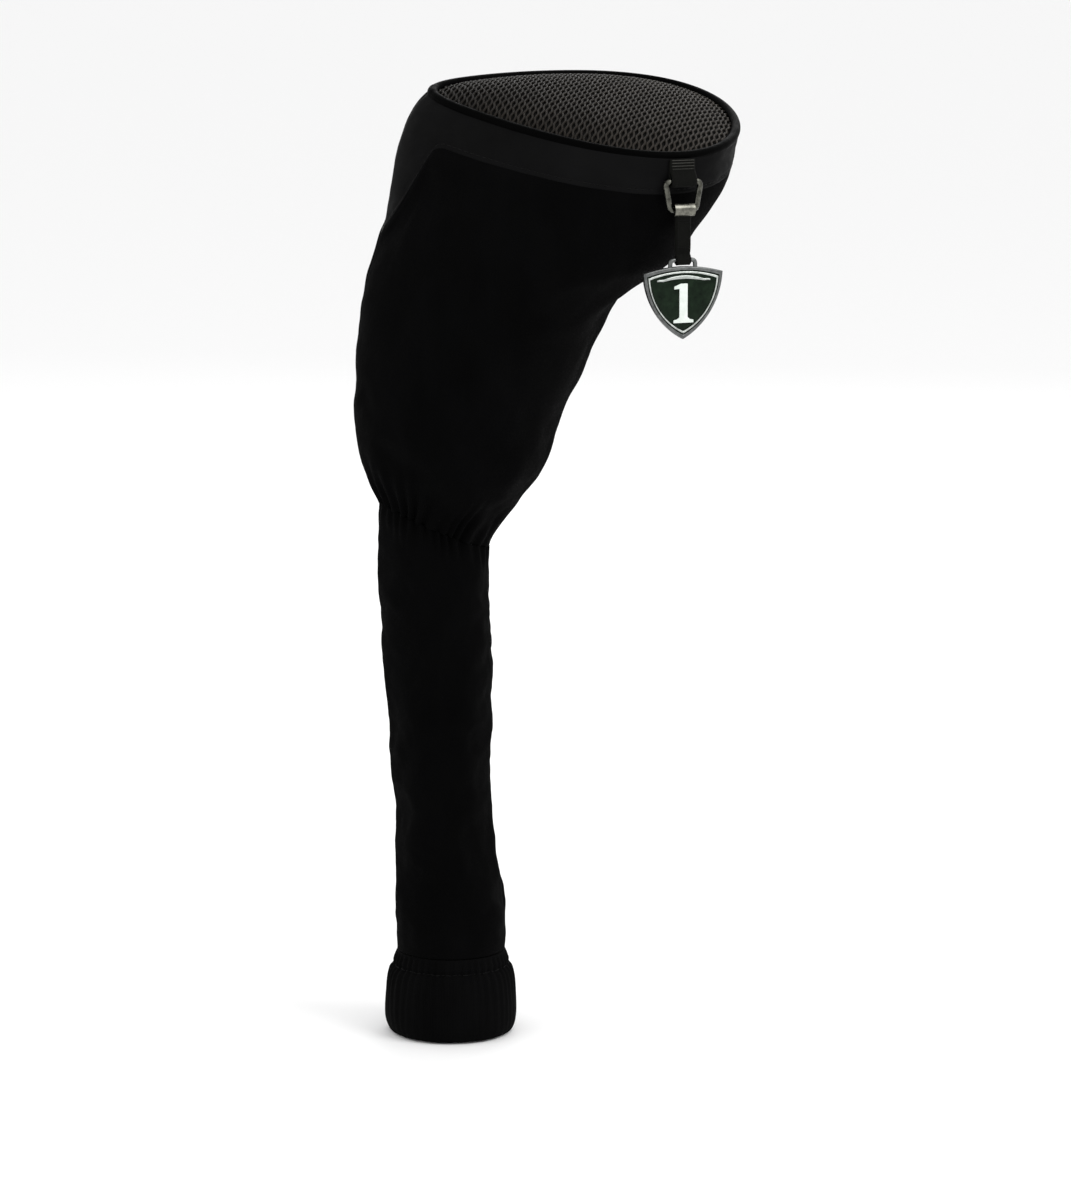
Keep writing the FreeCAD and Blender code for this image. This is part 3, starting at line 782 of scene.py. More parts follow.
def makeBand():
    values = bandValues
    rows = values["rows"]
    grid = np.zeros((rows, columns, 3))
    shares = [r / (rows - 1) for r in range(rows)]
    for c, turn in enumerate(turns):
        top = values["belowPiping"] / spineLength
        for r, share in enumerate(shares):
            eased = 1 - (1 - share) ** 1.6 if share > 0 else 0      # more rows near the edge
            grid[r, c] = pocketPoint(top + (edges[c] - top) * eased, turn)
    normal = normalsOf(grid)
    moved = grid.copy()
    down = np.zeros((rows, columns))
    down[1:] = np.cumsum(np.linalg.norm(np.diff(grid, axis=0), axis=2), axis=0)
    edgeLine = grid[-1]
    for c in range(columns):
        for r in range(rows):
            point = grid[r, c]
            girth = np.linalg.norm(grid[r, (c + 1) % columns] - point) * columns
            fromSeam = min(c, columns - c, abs(c - columns / 2)) / columns * girth
            near = np.linalg.norm(edgeLine - point, axis=1).min()    # distance to the turned edge
            roll = math.sqrt(max(0.0, 1 - (1 - min(near / values["turnedEdge"], 1)) ** 2))
            lift = values["proud"] * (0.15 + 0.85 * roll)
            valley = math.exp(-((near - values["stitchInset"]) / (0.8 * mm)) ** 2)
            wave = math.sin(c * 2.6 + noise.noise(Vector(point) * 300) * 2)
            lift -= values["pucker"] * valley * (1.4 + 0.6 * wave)
            tension = noise.fractal(Vector((point[0] * 60, point[1] * 60, point[2] * 90)), 0.7, 2.0, 3)
            quiet = smoothStep(0, 3 * mm, down[r, c]) * smoothStep(0, 3 * mm, near)
            lift += 0.35 * mm * tension * quiet
            lift += seamGroove(fromSeam, down[r, c], values) * smoothStep(0, 2 * mm, near)
            moved[r, c] = point + normal[r, c] * lift
    band = shellFrom("band_cloth", moved, "band")
    thicken(band, 0.9 * mm)
    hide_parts("band_front", "band_back")
    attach(band, "cover")
    return moved, normal


bandGrid, bandNormals = makeBand()
print("band sewn")


# sock
sockValues = {
    "coarse": 3,
    "stiffness": 6,
    "ease": 0.035,
    "pressure": 2.0,
    "frames": 20,
    "mostMove": 1.5 * mm,
    "relax": 14,
    "rows": 230,
    "columns": 192,
    "seamDepth": 0.7 * mm,
    "seamWidth": 1.3 * mm,
    "gatherDepth": 1.1 * mm,
    "gatherHeight": 16 * mm,
    "gathers": 30,
    "fold": 0.75 * mm,
}


def makeSock():
    values = sockValues
    rows, cols = values["rows"], values["columns"]
    grid = np.zeros((rows, cols, 3))
    sections = [sockPoint(r / (rows - 1)) for r in range(rows)]
    for c in range(cols):
        turn = 2 * math.pi * c / cols
        for r in range(rows):
            grid[r, c] = cast(sockTree, sections[r], turn)[0]
    runOn(grid)
    seams = (0, cols // 2)
    grid = grid + fillOut("sock", grid, values, lambda r, c: r < 4 or r > rows - 8 or c in seams)
    normal = normalsOf(grid)
    moved = grid.copy()
    down = np.zeros((rows, cols))
    down[1:] = np.cumsum(np.linalg.norm(np.diff(grid, axis=0), axis=2), axis=0)
    for c in range(cols):
        turn = 2 * math.pi * c / cols
        for r in range(rows):
            point = grid[r, c]
            girth = np.linalg.norm(grid[r, (c + 1) % cols] - point) * cols
            near = min(min(c, cols - c), abs(c - cols / 2)) / cols * girth
            push = seamGroove(near, down[r, c], values)
            drift = noise.noise(Vector((math.cos(turn) * 1.7, math.sin(turn) * 1.7, 3.1))) * 1.6
            fade = 1 - smoothStep(0, values["gatherHeight"], down[r, c])
            pleat = math.sin(values["gathers"] * turn + drift * 3.0) * (0.65 + 0.5 * drift)
            push += values["gatherDepth"] * fade ** 1.6 * (pleat - 0.2)
            place = Vector((math.cos(turn) * 0.9, math.sin(turn) * 0.9, point[2] * 46))
            soft = noise.fractal(place, 0.55, 2.2, 3)
            ease = 1 - smoothStep(down[-1, c] - 14 * mm, down[-1, c], down[r, c])
            push += values["fold"] * soft * (0.35 + 0.65 * (1 - fade)) * ease
            moved[r, c] = point + normal[r, c] * push
    sock = shellFrom("sock_knit", moved, "knit")
    thicken(sock, 2.5 * mm)
    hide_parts("sock_front", "sock_back")
    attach(sock, "cover")
    return moved


makeSock()
print("sock sewn")


# cuff
cuffValues = {
    "rows": 84,
    "columns": 288,
    "gathers": 46,
    "gatherDepth": 0.42 * mm,
    "stitchDrop": 6.5 * mm,      # the elastic's stitching, below the cuff's top
    "stitchPull": 0.9 * mm,
    "pullReach": 1.3 * mm,       # how far the elastic's stitching draws the knit in, above and below
    "gatherReach": 9 * mm,
    "hemHeight": 4 * mm,
    "hemSteps": 8,
    "sway": 0.5 * mm,
    "knit": 1.4 * mm,
}


def makeCuff():
    values = cuffValues
    rows, cols = values["rows"], values["columns"]
    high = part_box("cuff")[1]
    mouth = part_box("cuff_liner")[1].x
    half = high.x
    outline = []
    for r in range(rows):        # down the outside
        z = high.z - 0.3 * mm - (high.z - 1.2 * mm) * r / (rows - 1)
        hit = cuffTree.ray_cast(Vector((half * 3, 0, z)), Vector((-1, 0, 0)))[0]
        outline.append((hit.x, z))
    lowest = outline[-1]
    for k in range(values["hemSteps"]):        # round the hem and in to the mouth
        turn = math.pi / 2 * (k + 1) / values["hemSteps"]
        inward = (lowest[0] - mouth) * math.sin(turn) * 0.9
        outline.append((lowest[0] - inward, lowest[1] - lowest[1] * (1 - math.cos(turn))))
    grid = np.zeros((len(outline), cols, 3))
    for r, (radius, z) in enumerate(outline):
        for c in range(cols):
            turn = 2 * math.pi * c / cols
            drop = high.z - z
            around = Vector((math.cos(turn), math.sin(turn), 0))
            drift = noise.noise(around * 2.3) * 2.2
            drift += noise.noise(Vector((around.x * 3, around.y * 3, z * 60))) * 0.8
            pleat = math.sin(values["gathers"] * turn + drift)
            fromStitch = drop - values["stitchDrop"]
            pull = math.exp(-(fromStitch / values["pullReach"]) ** 2)
            fade = math.exp(-abs(fromStitch) / values["gatherReach"])
            hem = math.exp(-((z - values["hemHeight"] / 2) / values["hemHeight"]) ** 2)
            push = values["gatherDepth"] * (fade * 0.9 + 0.25) * (pleat - 0.2) * (1 - 0.6 * hem)
            push -= values["stitchPull"] * pull
            wander = Vector((around.x * 1.4, around.y * 1.4, z * 40))
            push += values["sway"] * noise.fractal(wander, 0.6, 2.1, 2)
            topEase = smoothStep(0, 2.5 * mm, drop)
            grid[r, c] = around * (radius + push * topEase) + Vector((0, 0, z))
    cuff = shellFrom("cuff_knit", grid, "cuffKnit")
    thicken(cuff, values["knit"])
    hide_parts("cuff")
    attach(cuff, "cover")
    return grid


cuffLinerValues = {
    "rows": 26,
    "columns": 288,
    "ribs": 72,
    "ribDepth": 0.28 * mm,
    "ply": 1.65 * mm,
}


def makeCuffLiner():
    # the cuff's inner ply, a fine rib that lies on the shaft's side
    values = cuffLinerValues
    rows, cols = values["rows"], values["columns"]
    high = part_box("cuff_liner")[1]
    outer = high.x - 0.25 * mm
    inner = outer - values["ply"]
    outline = [(outer, high.z - 0.5 * mm)]
    outline += [(inner, high.z - 0.6 * mm - (high.z - 1.8 * mm) * r / (rows - 1)) for r in range(rows)]
    outline += [(inner + 0.4 * mm, 0.7 * mm), (outer - 0.3 * mm, 0.45 * mm), (outer, 0.9 * mm)]
    grid = np.zeros((len(outline), cols, 3))
    for r, (radius, z) in enumerate(outline):
        for c in range(cols):
            turn = 2 * math.pi * c / cols
            rib = 0.0
            if radius < outer - 0.5 * mm:
                rib = values["ribDepth"] * abs(math.sin(values["ribs"] * turn / 2))
            grid[r, c] = ((radius - rib) * math.cos(turn), (radius - rib) * math.sin(turn), z)
    mesh = meshFrom("cuff_lining", grid.reshape(-1, 3), gridFaces(len(outline), cols, looped=True))
    keepUv(mesh, clothUvs(grid))
    liner = addObject("cuff_lining", mesh)
    facesOut(liner)
    wear(liner, "cuffKnit")
    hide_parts("cuff_liner")
    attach(liner, "cover")


cuffGrid = makeCuff()
makeCuffLiner()
print("cuff sewn")


# piping
def pipingPath():
    tree = treeOf("piping_sleeve")
    path = []
    for k in range(360):
        turn = 2 * math.pi * k / 360
        outward = rimToe * math.cos(turn) + rimBack * math.sin(turn)
        outside = tree.ray_cast(rimMiddle + outward * spine["reach"], -outward)[0]
        inside = tree.ray_cast(rimMiddle, outward)[0]
        path.append((outside + inside) / 2)
    return path


pipingLine = pipingPath()
co = np.array([v.co for v in frame["nodes"]["piping_sleeve"].data.vertices]) - np.array(rimMiddle)
heights = co @ np.array(rimUp)
pipingRadius = (heights.max() - heights.min()) / 2
pipingValues = {
    "sides": 20,
    "pucker": 0.07 * mm,
    "puckerPitch": 3.4 * mm,
    "joinAt": 0.5,            # share of the way round, at the heel
    "joinLength": 7 * mm,
}


def makePiping():
    values = pipingValues
    count, sides = len(pipingLine), values["sides"]
    grid = np.zeros((count, sides, 3))
    uvs = []
    along = 0.0
    total = sum((pipingLine[k] - pipingLine[k - 1]).length for k in range(count))
    puckers = round(total / values["puckerPitch"])
    for k, point in enumerate(pipingLine):
        heading = (pipingLine[(k + 1) % count] - pipingLine[k - 1]).normalized()
        out = heading.cross(rimUp).normalized()
        share = k / count
        pucker = math.sin(2 * math.pi * puckers * share)
        fromJoin = abs(share - values["joinAt"]) * total
        joinEdge = values["joinLength"] * 0.5
        overlap = 0.22 * mm * (1 - smoothStep(joinEdge * 0.9, joinEdge * 1.1, fromJoin))
        for s in range(sides):
            turn = 2 * math.pi * s / sides
            low = max(0.0, -math.sin(turn))      # the seam's side, where stitches pull
            radius = pipingRadius + overlap - values["pucker"] * low * (1 + pucker)
            grid[k, s] = point + (out * math.cos(turn) + rimUp * math.sin(turn)) * radius
            uvs.append((min(s, sides - s) / sides * 2 * math.pi * pipingRadius, along))
        along += (pipingLine[(k + 1) % count] - point).length
    mesh = meshFrom("piping_tape", grid.reshape(-1, 3), gridFaces(count, sides, looped=True))
    keepUv(mesh, uvs)
    piping = addObject("piping_tape", mesh)
    facesOut(piping)
    wear(piping, "piping")
    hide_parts("piping_sleeve")
    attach(piping, "cover")


makePiping()
print("piping laid")


# crown
crownValues = {
    "rings": 26,
    "columns": 120,
    "below": 0.35 * mm,         # the backing cloth lies this far under the ribs' line
    "stiffness": 12,
    "pressure": 4.0,
    "frames": 20,
    "mostSlide": 0.6 * mm,
    "mostRise": 1.4 * mm,
    "mostDip": 0.15 * mm,
    "ribPitch": 1.7 * mm,
    "holeLength": 6.4 * mm,
    "ribSway": 0.36 * mm,
    "ribWidth": 1.05 * mm,
    "ribHeight": 0.8 * mm,
    "ribLean": math.radians(8.5),
    "ribStep": 0.8 * mm,
}


def domeGrid():
    # the crown's shape in its own plane: x to the toe, y to the back, z up
    tree = treeOf("crown_mesh_panel")
    back = crownPlace.inverted()
    rings, cols = crownValues["rings"], crownValues["columns"]
    points = []
    middleHit = tree.ray_cast(rimMiddle + rimUp * 0.05, -rimUp)[0]
    points.append(back @ middleHit)
    for r in range(1, rings + 1):
        share = math.sin(math.pi / 2 * r / rings) ** 0.85
        for c in range(cols):
            far = back @ pipingLine[round(c * len(pipingLine) / cols)]
            flat = Vector((far.x, far.y, 0))
            reach = flat.length - 0.5 * pipingRadius
            flat = flat.normalized() * reach * share
            start = crownPlace @ Vector((flat.x, flat.y, 0.05))
            hit = tree.ray_cast(start, -rimUp)[0]
            height = (back @ hit).z if hit is not None else points[-cols].z - 0.6 * mm
            points.append(Vector((flat.x, flat.y, height)))
    faces = [(0, 1 + c, 1 + (c + 1) % cols) for c in range(cols)]
    for r in range(rings - 1):
        for c in range(cols):
            a, b = 1 + r * cols + c, 1 + r * cols + (c + 1) % cols
            faces.append((a, a + cols, b + cols, b))
    return points, faces


def puffUp(obj, pinned, values):
    # the pad under the cloth presses it up against its sewn edge
    start = [v.co.copy() for v in obj.data.vertices]
    settings = clothOn(obj, pinned, values)
    settings.mass = 0.2
    settings.bending_stiffness = 1.5
    moved = runCloth(values["frames"], obj)
    for vertex, old, new in zip(obj.data.vertices, start, moved):
        rise = max(-values["mostDip"], min(values["mostRise"], new.z - old.z))
        slide = Vector((new.x - old.x, new.y - old.y, 0))
        if slide.length > values["mostSlide"]:
            slide.length = values["mostSlide"]
        vertex.co = old + slide + Vector((0, 0, rise))


def makeCrown():
    points, faces = domeGrid()
    dome = addObject("crown_backing", meshFrom("crown_backing", points, faces))
    cols = crownValues["columns"]
    puffUp(dome, list(range(len(points) - cols * 2, len(points))), crownValues)
    return dome


def ribTree():
    # wavy ribs across the crown, laid onto the dome and given a flat section
    tree = Tree("crownRibs", Dome="Object", Pitch="Float", Hole_Length="Float", Sway="Float",
                Rib_Width="Float", Rib_Height="Float", Lean="Float", Size="Float", Ribs="Int",
                Steps="Int", Material="Material")
    given, put, calc = tree.given, tree.put, tree.calc
    span = calc("MULTIPLY", given["Pitch"], calc("SUBTRACT", given["Ribs"], 1))
    rows = put("GeometryNodeMeshGrid", span, given["Size"], given["Ribs"], given["Steps"])
    # keep only the edges that run front to back
    ends = put("GeometryNodeInputMeshEdgeVertices").outputs
    apart = put("ShaderNodeVectorMath", ends["Position 1"], ends["Position 2"], operation="SUBTRACT")
    split = put("ShaderNodeSeparateXYZ", apart)
    across = calc("GREATER_THAN", calc("ABSOLUTE", split), 0.0001)
    cut = put("GeometryNodeDeleteGeometry", rows, across, domain="EDGE", mode="EDGE_FACE")
    curves = put("GeometryNodeMeshToCurve", cut)
    # sway, each rib opposite to its neighbours, then lean
    here = put("ShaderNodeSeparateXYZ", put("GeometryNodeInputPosition")).outputs
    phase = calc("MULTIPLY", calc("ROUND", calc("DIVIDE", here["X"], given["Pitch"])), math.pi)
    along = calc("MULTIPLY", calc("DIVIDE", here["Y"], given["Hole Length"]), 2 * math.pi)
    sway = calc("MULTIPLY", calc("SINE", calc("ADD", along, phase)), given["Sway"])
    x = calc("ADD", here["X"], sway)
    sine, cosine = calc("SINE", given["Lean"]), calc("COSINE", given["Lean"])
    leanX = calc("ADD", calc("MULTIPLY", x, cosine), calc("MULTIPLY", here["Y"], sine))
    leanY = calc("SUBTRACT", calc("MULTIPLY", here["Y"], cosine), calc("MULTIPLY", x, sine))
    place = put("ShaderNodeCombineXYZ", leanX, leanY, 0.05)
    swayed = put("GeometryNodeSetPosition", curves, Position=place)
    # down onto the dome; what misses it is trimmed
    target = put("GeometryNodeObjectInfo", given["Dome"])
    ray = put("GeometryNodeRaycast", target.outputs["Geometry"], Ray_Direction=(0, 0, -1),
              Ray_Length=0.2).outputs
    lift = calc("MULTIPLY", given["Rib Height"], 0.35)
    up = put("ShaderNodeVectorMath", ray["Hit Normal"], Scale=lift, operation="SCALE")
    onTop = put("ShaderNodeVectorMath", ray["Hit Position"], up, operation="ADD")
    missed = put("FunctionNodeBooleanMath", ray["Is Hit"], operation="NOT")
    trimmed = put("GeometryNodeDeleteGeometry", swayed, missed, domain="POINT")
    laid = put("GeometryNodeSetPosition", trimmed, Position=onTop)
    flat = put("GeometryNodeSetCurveNormal", laid, mode="Z_UP")
    section = put("GeometryNodeCurvePrimitiveCircle", Resolution=6, Radius=0.5)
    scale = put("ShaderNodeCombineXYZ", given["Rib Width"], given["Rib Height"], 1.0)
    shape = put("GeometryNodeTransform", section, Scale=scale)
    tube = put("GeometryNodeCurveToMesh", flat, shape, Fill_Caps=True)
    return tree.end(tube, given["Material"])


def setInputs(modifier, **values):
    # a modifier's inputs are set by each socket's identifier
    sockets = {s.name: s.identifier for s in modifier.node_group.interface.items_tree
               if s.item_type == "SOCKET" and s.in_out == "INPUT"}
    for name, value in values.items():
        modifier[sockets[name.replace("_", " ")]] = value


def makeRibs(dome):
    values = crownValues
    host = addObject("crown_mesh", bpy.data.meshes.new("crown_mesh"))
    modifier = host.modifiers.new("ribs", "NODES")
    modifier.node_group = ribTree()
    size = 2.3 * max((p - rimMiddle).length for p in pipingLine)
    setInputs(modifier, Dome=dome, Pitch=values["ribPitch"], Hole_Length=values["holeLength"],
              Sway=values["ribSway"], Rib_Width=values["ribWidth"], Rib_Height=values["ribHeight"],
              Lean=values["ribLean"], Size=size, Ribs=int(size / values["ribPitch"]) | 1,
              Steps=int(size / values["ribStep"]), Material=looks["rib"])
    return bake(host)


def dressCrown():
    dome = makeCrown()
    ribs = makeRibs(dome)
    for piece in (dome, ribs):
        piece.data.transform(crownPlace)
    sunk = Matrix.Translation(-rimUp * crownValues["below"])
    dome.data.transform(sunk)
    wear(dome, "backing")
    thicken(dome, 0.5 * mm)
    for piece in (dome, ribs):
        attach(piece, "cover")
    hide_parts("crown_mesh_panel")
    return ribs


crownRibs = dressCrown()
print("crown laid:", len(crownRibs.data.polygons), "rib faces")


# stitches
stitchValues = {      # each row's pitch, and its threads' length, radius and rise
    "band": (3.0 * mm, 2.3 * mm, 0.17 * mm, 0.3 * mm),
    "cuff": (2.6 * mm, 2.0 * mm, 0.16 * mm, 0.25 * mm),
    "heel": (1.1 * mm, 1.25 * mm, 0.19 * mm, 0.3 * mm),
    "tab": (0.75 * mm, 0.85 * mm, 0.15 * mm, 0.3 * mm),
    "strap": (0.9 * mm, 0.8 * mm, 0.12 * mm, 0.26 * mm),
}


def stitchTree():
    # one thread on each step of a path, its ends down in the cloth
    tree = Tree("stitchRow", Pitch="Float", Length="Float", Thread="Float", Rise="Float",
                Material="Material")
    given, put, calc = tree.given, tree.put, tree.calc
    path = put("GeometryNodeMeshToCurve", given["Geometry"])
    steps = put("GeometryNodeResampleCurve", path, mode="LENGTH", Length=given["Pitch"])
    outward = put("GeometryNodeInputNamedAttribute", data_type="FLOAT_VECTOR", Name="outward")
    along = put("GeometryNodeInputTangent")
    turn = put("FunctionNodeAxesToRotation", outward, along, primary_axis="Z", secondary_axis="X")
    half = calc("MULTIPLY", given["Length"], 0.5)
    sunk = calc("MULTIPLY", given["Thread"], -1)
    start = put("ShaderNodeCombineXYZ", calc("MULTIPLY", half, -1), 0, sunk)
    middle = put("ShaderNodeCombineXYZ", 0, 0, given["Rise"])
    end = put("ShaderNodeCombineXYZ", half, 0, sunk)
    thread = put("GeometryNodeCurveQuadraticBezier", Resolution=5, Start=start, Middle=middle, End=end)
    ring = put("GeometryNodeCurvePrimitiveCircle", Resolution=6, Radius=given["Thread"])
    tube = put("GeometryNodeCurveToMesh", thread, ring, Fill_Caps=True)
    placed = put("GeometryNodeInstanceOnPoints", steps, Instance=tube, Rotation=turn)
    return tree.end(placed, given["Material"])


stitchNodes = stitchTree()


def sew(name, lines, body, look, kind):
    # lines holds (points, outward directions, closed) for each row of stitches
    points, edgeList, outwards = [], [], []
    for linePoints, lineOut, closed in lines:
        first = len(points)
        points += [tuple(p) for p in linePoints]
        outwards += [tuple(o) for o in lineOut]
        edgeList += [(first + k, first + k + 1) for k in range(len(linePoints) - 1)]
        if closed:
            edgeList.append((len(points) - 1, first))
    mesh = bpy.data.meshes.new(name)
    mesh.from_pydata(points, edgeList, [])
    mesh.attributes.new("outward", "FLOAT_VECTOR", "POINT")
    mesh.attributes["outward"].data.foreach_set("vector", np.array(outwards, np.float32).ravel())
    host = addObject(name, mesh)
    modifier = host.modifiers.new("stitches", "NODES")
    modifier.node_group = stitchNodes
    pitch, length, thread, rise = stitchValues[kind]
    setInputs(modifier, Pitch=pitch, Length=length, Thread=thread, Rise=rise, Material=looks[look])
    bake(host)
    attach(host, body)
    return host


def gridLine(grid, row, step=1):
    # a row of a grid with its outward directions, ready for sewing
    normal = normalsOf(grid)
    cols = grid.shape[1]
    return [grid[row, c] for c in range(0, cols, step)], [normal[row, c] for c in range(0, cols, step)], True


# tag and what it hangs from
def hangingPlace(joint):
    # x across, y back, z up, from the joint's own axis
    data = next(j for j in frame["joints"] if j["name"] == joint)
    across = -Vector(data["axis"])
    up = Vector((0, 0, 1))
    return Matrix.Translation(data["pos_m"]) @ Matrix((across, up.cross(across), up)).transposed().to_4x4()


ringPlace, strapPlace, tagPlace = (hangingPlace(j) for j in ("ring_swing", "strap_swing", "tag_swing"))


def extentIn(place, node):
    # a node's lowest and highest corners in one of those places
    own = np.array([place.inverted() @ v.co for v in frame["nodes"][node].data.vertices])
    return own.min(0), own.max(0)


def rounded(points, closed, times=3):
    # cuts the corners off a line until it is smooth
    line = [Vector(p) for p in points]
    for _ in range(times):
        pairs = zip(line, line[1:] + line[:1]) if closed else zip(line, line[1:])
        cut = [q for a, b in pairs for q in (a.lerp(b, 0.25), a.lerp(b, 0.75))]
        line = cut if closed else [line[0]] + cut + [line[-1]]
    return line


tapeValues = {
    "thickness": 1.15 * mm,
    "acrossSteps": 14,
    "selvage": 0.08 * mm,       # the woven edges stand this much thicker
}


def sweep(name, path, section, side, closed, place, look):
    # a section of (along side, out) carried along a path, its ends capped if the path is open
    count, n = len(path), len(section)
    points, uvs, along = [], [], 0.0
    for k, here in enumerate(path):
        before = path[k - 1] if closed or k else here
        after = path[(k + 1) % count] if closed or k < count - 1 else here
        out = side.cross(after - before).normalized()
        for x, y in section:
            points.append(place @ (here + side * x + out * y))
            uvs.append((x, along))
        along += (after - here).length
    faces = gridFaces(count, n, looped=closed)
    if not closed:
        faces += [tuple(range(n)), tuple(reversed(range((count - 1) * n, count * n)))]
    mesh = meshFrom(name, points, faces)
    keepUv(mesh, uvs)
    obj = addObject(name, mesh)
    facesOut(obj)
    wear(obj, look)
    return obj


def tape(name, path, width, closed, place, look):
    # flat webbing along a path in the y-z plane, with rounded and slightly thicker edges
    values = tapeValues
    thick, steps = values["thickness"], values["acrossSteps"]
    section = []
    for k in range(steps + 1):
        share = -1 + 2 * k / steps
        edge = max(0.0, abs(share) - 0.8) / 0.2
        drop = math.sqrt(max(0.0, 1 - edge ** 3))
        bead = values["selvage"] * math.exp(-((abs(share) - 0.86) / 0.08) ** 2)
        section.append((share * width / 2, thick / 2 * max(drop, 0.18) + bead))
    section += [(x, -y) for x, y in reversed(section)]
    return sweep(name, path, section, Vector((1, 0, 0)), closed, place, look)


def wirePath(name, path, radius, closed, place, look, sides=14):
    # round wire bent along a path
    turns = [2 * math.pi * k / sides for k in range(sides)]
    section = [(radius * math.sin(turn), -radius * math.cos(turn)) for turn in turns]
    return sweep(name, path, section, Vector((0, 1, 0)), closed, place, look)


def arc(centreY, centreZ, radius, first, last, steps):
    # points of a circle in the y-z plane; 0 degrees points to the front, 90 points up
    out = []
    for k in range(steps + 1):
        turn = math.radians(first + (last - first) * k / steps)
        out.append(Vector((0, centreY - radius * math.cos(turn), centreZ + radius * math.sin(turn))))
    return out


hangingValues = {
    "tabWidth": 11.0 * mm,
    "tabTop": 9.0 * mm,
    "strapWidth": 6.4 * mm,
    "strapPly": 0.62 * mm,      # from the strap's middle to each ply's own middle
    "loopRadius": 1.87 * mm,    # of the tape's middle round the ring's wire
    "lowLoopRadius": 1.56 * mm,
    "bailWire": 0.9 * mm,
    "bailWidth": 11.0 * mm,
    "bailFoot": 3.4 * mm,
    "ringWire": 1.2 * mm,
    "ringTop": 15.6 * mm,
    "ringFoot": 11.4 * mm,
    "ringBend": 1.8 * mm,
}


def makeTab():
    values = hangingValues
    face = values["loopRadius"] - 1.2 * mm
    path = [Vector((0, face, values["tabTop"])), Vector((0, face, 6.5 * mm)),
            Vector((0, face - 0.1 * mm, 4.3 * mm)), Vector((0, -values["loopRadius"] * 0.75, 1.9 * mm))]
    path += arc(0, 0, values["loopRadius"], 15, -180, 12)
    path += [Vector((0, values["loopRadius"] + 0.1 * mm, 2.5 * mm)), Vector((0, face + 1.25 * mm, 5.0 * mm)),
             Vector((0, face + 1.25 * mm, values["tabTop"] - 1.0 * mm))]
    tab = tape("ring_webbing", rounded(path, False, 2), values["tabWidth"], False, ringPlace, "webbing")
    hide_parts("ring_tab")
    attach(tab, "cover")
    front = face - tapeValues["thickness"] / 2
    rows = []
    for z in (5.0, 6.2, 7.4, 8.5):
        ends = [ringPlace @ Vector((x * mm, front, z * mm)) for x in (-4.4, 4.4)]
        rows.append((ends, [ringPlace.to_3x3() @ Vector((0, -1, 0))] * 2, False))
    tacks = sew("tab_tacks", rows, "cover", "greyThread", "tab")
    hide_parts("tab_bartack")


def makeStrap():
    values = hangingValues
    drop = strapPlace.translation.z - tagPlace.translation.z
    ply = values["strapPly"]
    path = arc(0, 0, values["loopRadius"], -50, 230, 16)          # over the ring's bar, front to back
    path += [Vector((0, ply, z * mm)) for z in (-3.6, -6.5, -10.0)]
    path += [Vector((0, ply, -drop + 3.4 * mm))]
    path += [p for p in reversed(arc(0, -drop, values["lowLoopRadius"], -225, 45, 14))]
    path += [Vector((0, -ply, -drop + 3.4 * mm)), Vector((0, -ply, -10.0 * mm)), Vector((0, -ply, -6.5 * mm)),
             Vector((0, -ply, -3.6 * mm))]
    strap = tape("tag_webbing", rounded(path, True, 2), values["strapWidth"], True, strapPlace, "webbing")
    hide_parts("tag_strap")
    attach(strap, "strap")
    front = -ply - tapeValues["thickness"] / 2
    facing = strapPlace.to_3x3() @ Vector((0, -1, 0))
    rows = []
    for z in (-4.2 * mm, -5.2 * mm, -drop + 4.2 * mm, -drop + 5.2 * mm):
        ends = [strapPlace @ Vector((x * mm, front, z)) for x in (-2.5, 2.5)]
        rows.append((ends, [facing, facing], False))
    for x in (-2.5 * mm, 2.5 * mm):
        ends = [strapPlace @ Vector((x, front, z)) for z in (-5.4 * mm, -drop + 5.4 * mm)]
        rows.append((ends, [facing, facing], False))
    seams = sew("strap_stitches", rows, "strap", "blackThread", "strap")
    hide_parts("strap_stitching")


def makeRing():
    # a tapered ring of round wire: wide at the tab, narrower where the strap hangs
    values = hangingValues
    drop = ringPlace.translation.z - strapPlace.translation.z
    top, foot = values["ringTop"] / 2, values["ringFoot"] / 2
    corners = [Vector((x, 0, z)) for x, z in ((-top, 0), (top, 0), (foot, -drop), (-foot, -drop))]
    path = []
    for k, here in enumerate(corners):
        before = (corners[k - 1] - here).normalized()
        after = (corners[(k + 1) % 4] - here).normalized()
        half = before.angle(after) / 2
        centre = here + (before + after).normalized() * values["ringBend"] / math.sin(half)
        start = here + before * values["ringBend"] / math.tan(half) - centre
        sweep = math.pi - 2 * half
        for i in range(13):
            path.append(centre + Matrix.Rotation(sweep * i / 12, 3, "Y") @ start)
    ring = wirePath("ring_wire", path, values["ringWire"], True, ringPlace, "ring", 20)
    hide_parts("tag_ring")
    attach(ring, "ring")


shieldValues = {
    "width": 34.8 * mm,
    "height": 29.6 * mm,
    "crown": 2.4 * mm,
    "thickness": 2.4 * mm,
    "sideSteps": 40,
    "enamelTop": 0.42 * mm,      # below the border's face
    "numberEdge": 0.2 * mm,
}


def shieldPoint(inset, share):
    # a heater shield's outline at an inset, share 0 to 1: top edge left to right, right side, left side
    values = shieldValues
    half = values["width"] / 2 - inset
    tip = -(values["height"] - values["crown"]) + 1.25 * inset
    left, right = Vector((-half, -inset)), Vector((half, -inset))
    top, low = Vector((0, values["crown"] - inset)), Vector((0, tip))
    belly = Vector((half * 0.76, -inset + (tip + inset) * 0.53))
    sides = [(left, top, right), (right, belly, low), (low, Vector((-belly.x, belly.y)), left)]
    which = min(int(share * 3), 2)
    return arcThrough(*sides[which], share * 3 - which)


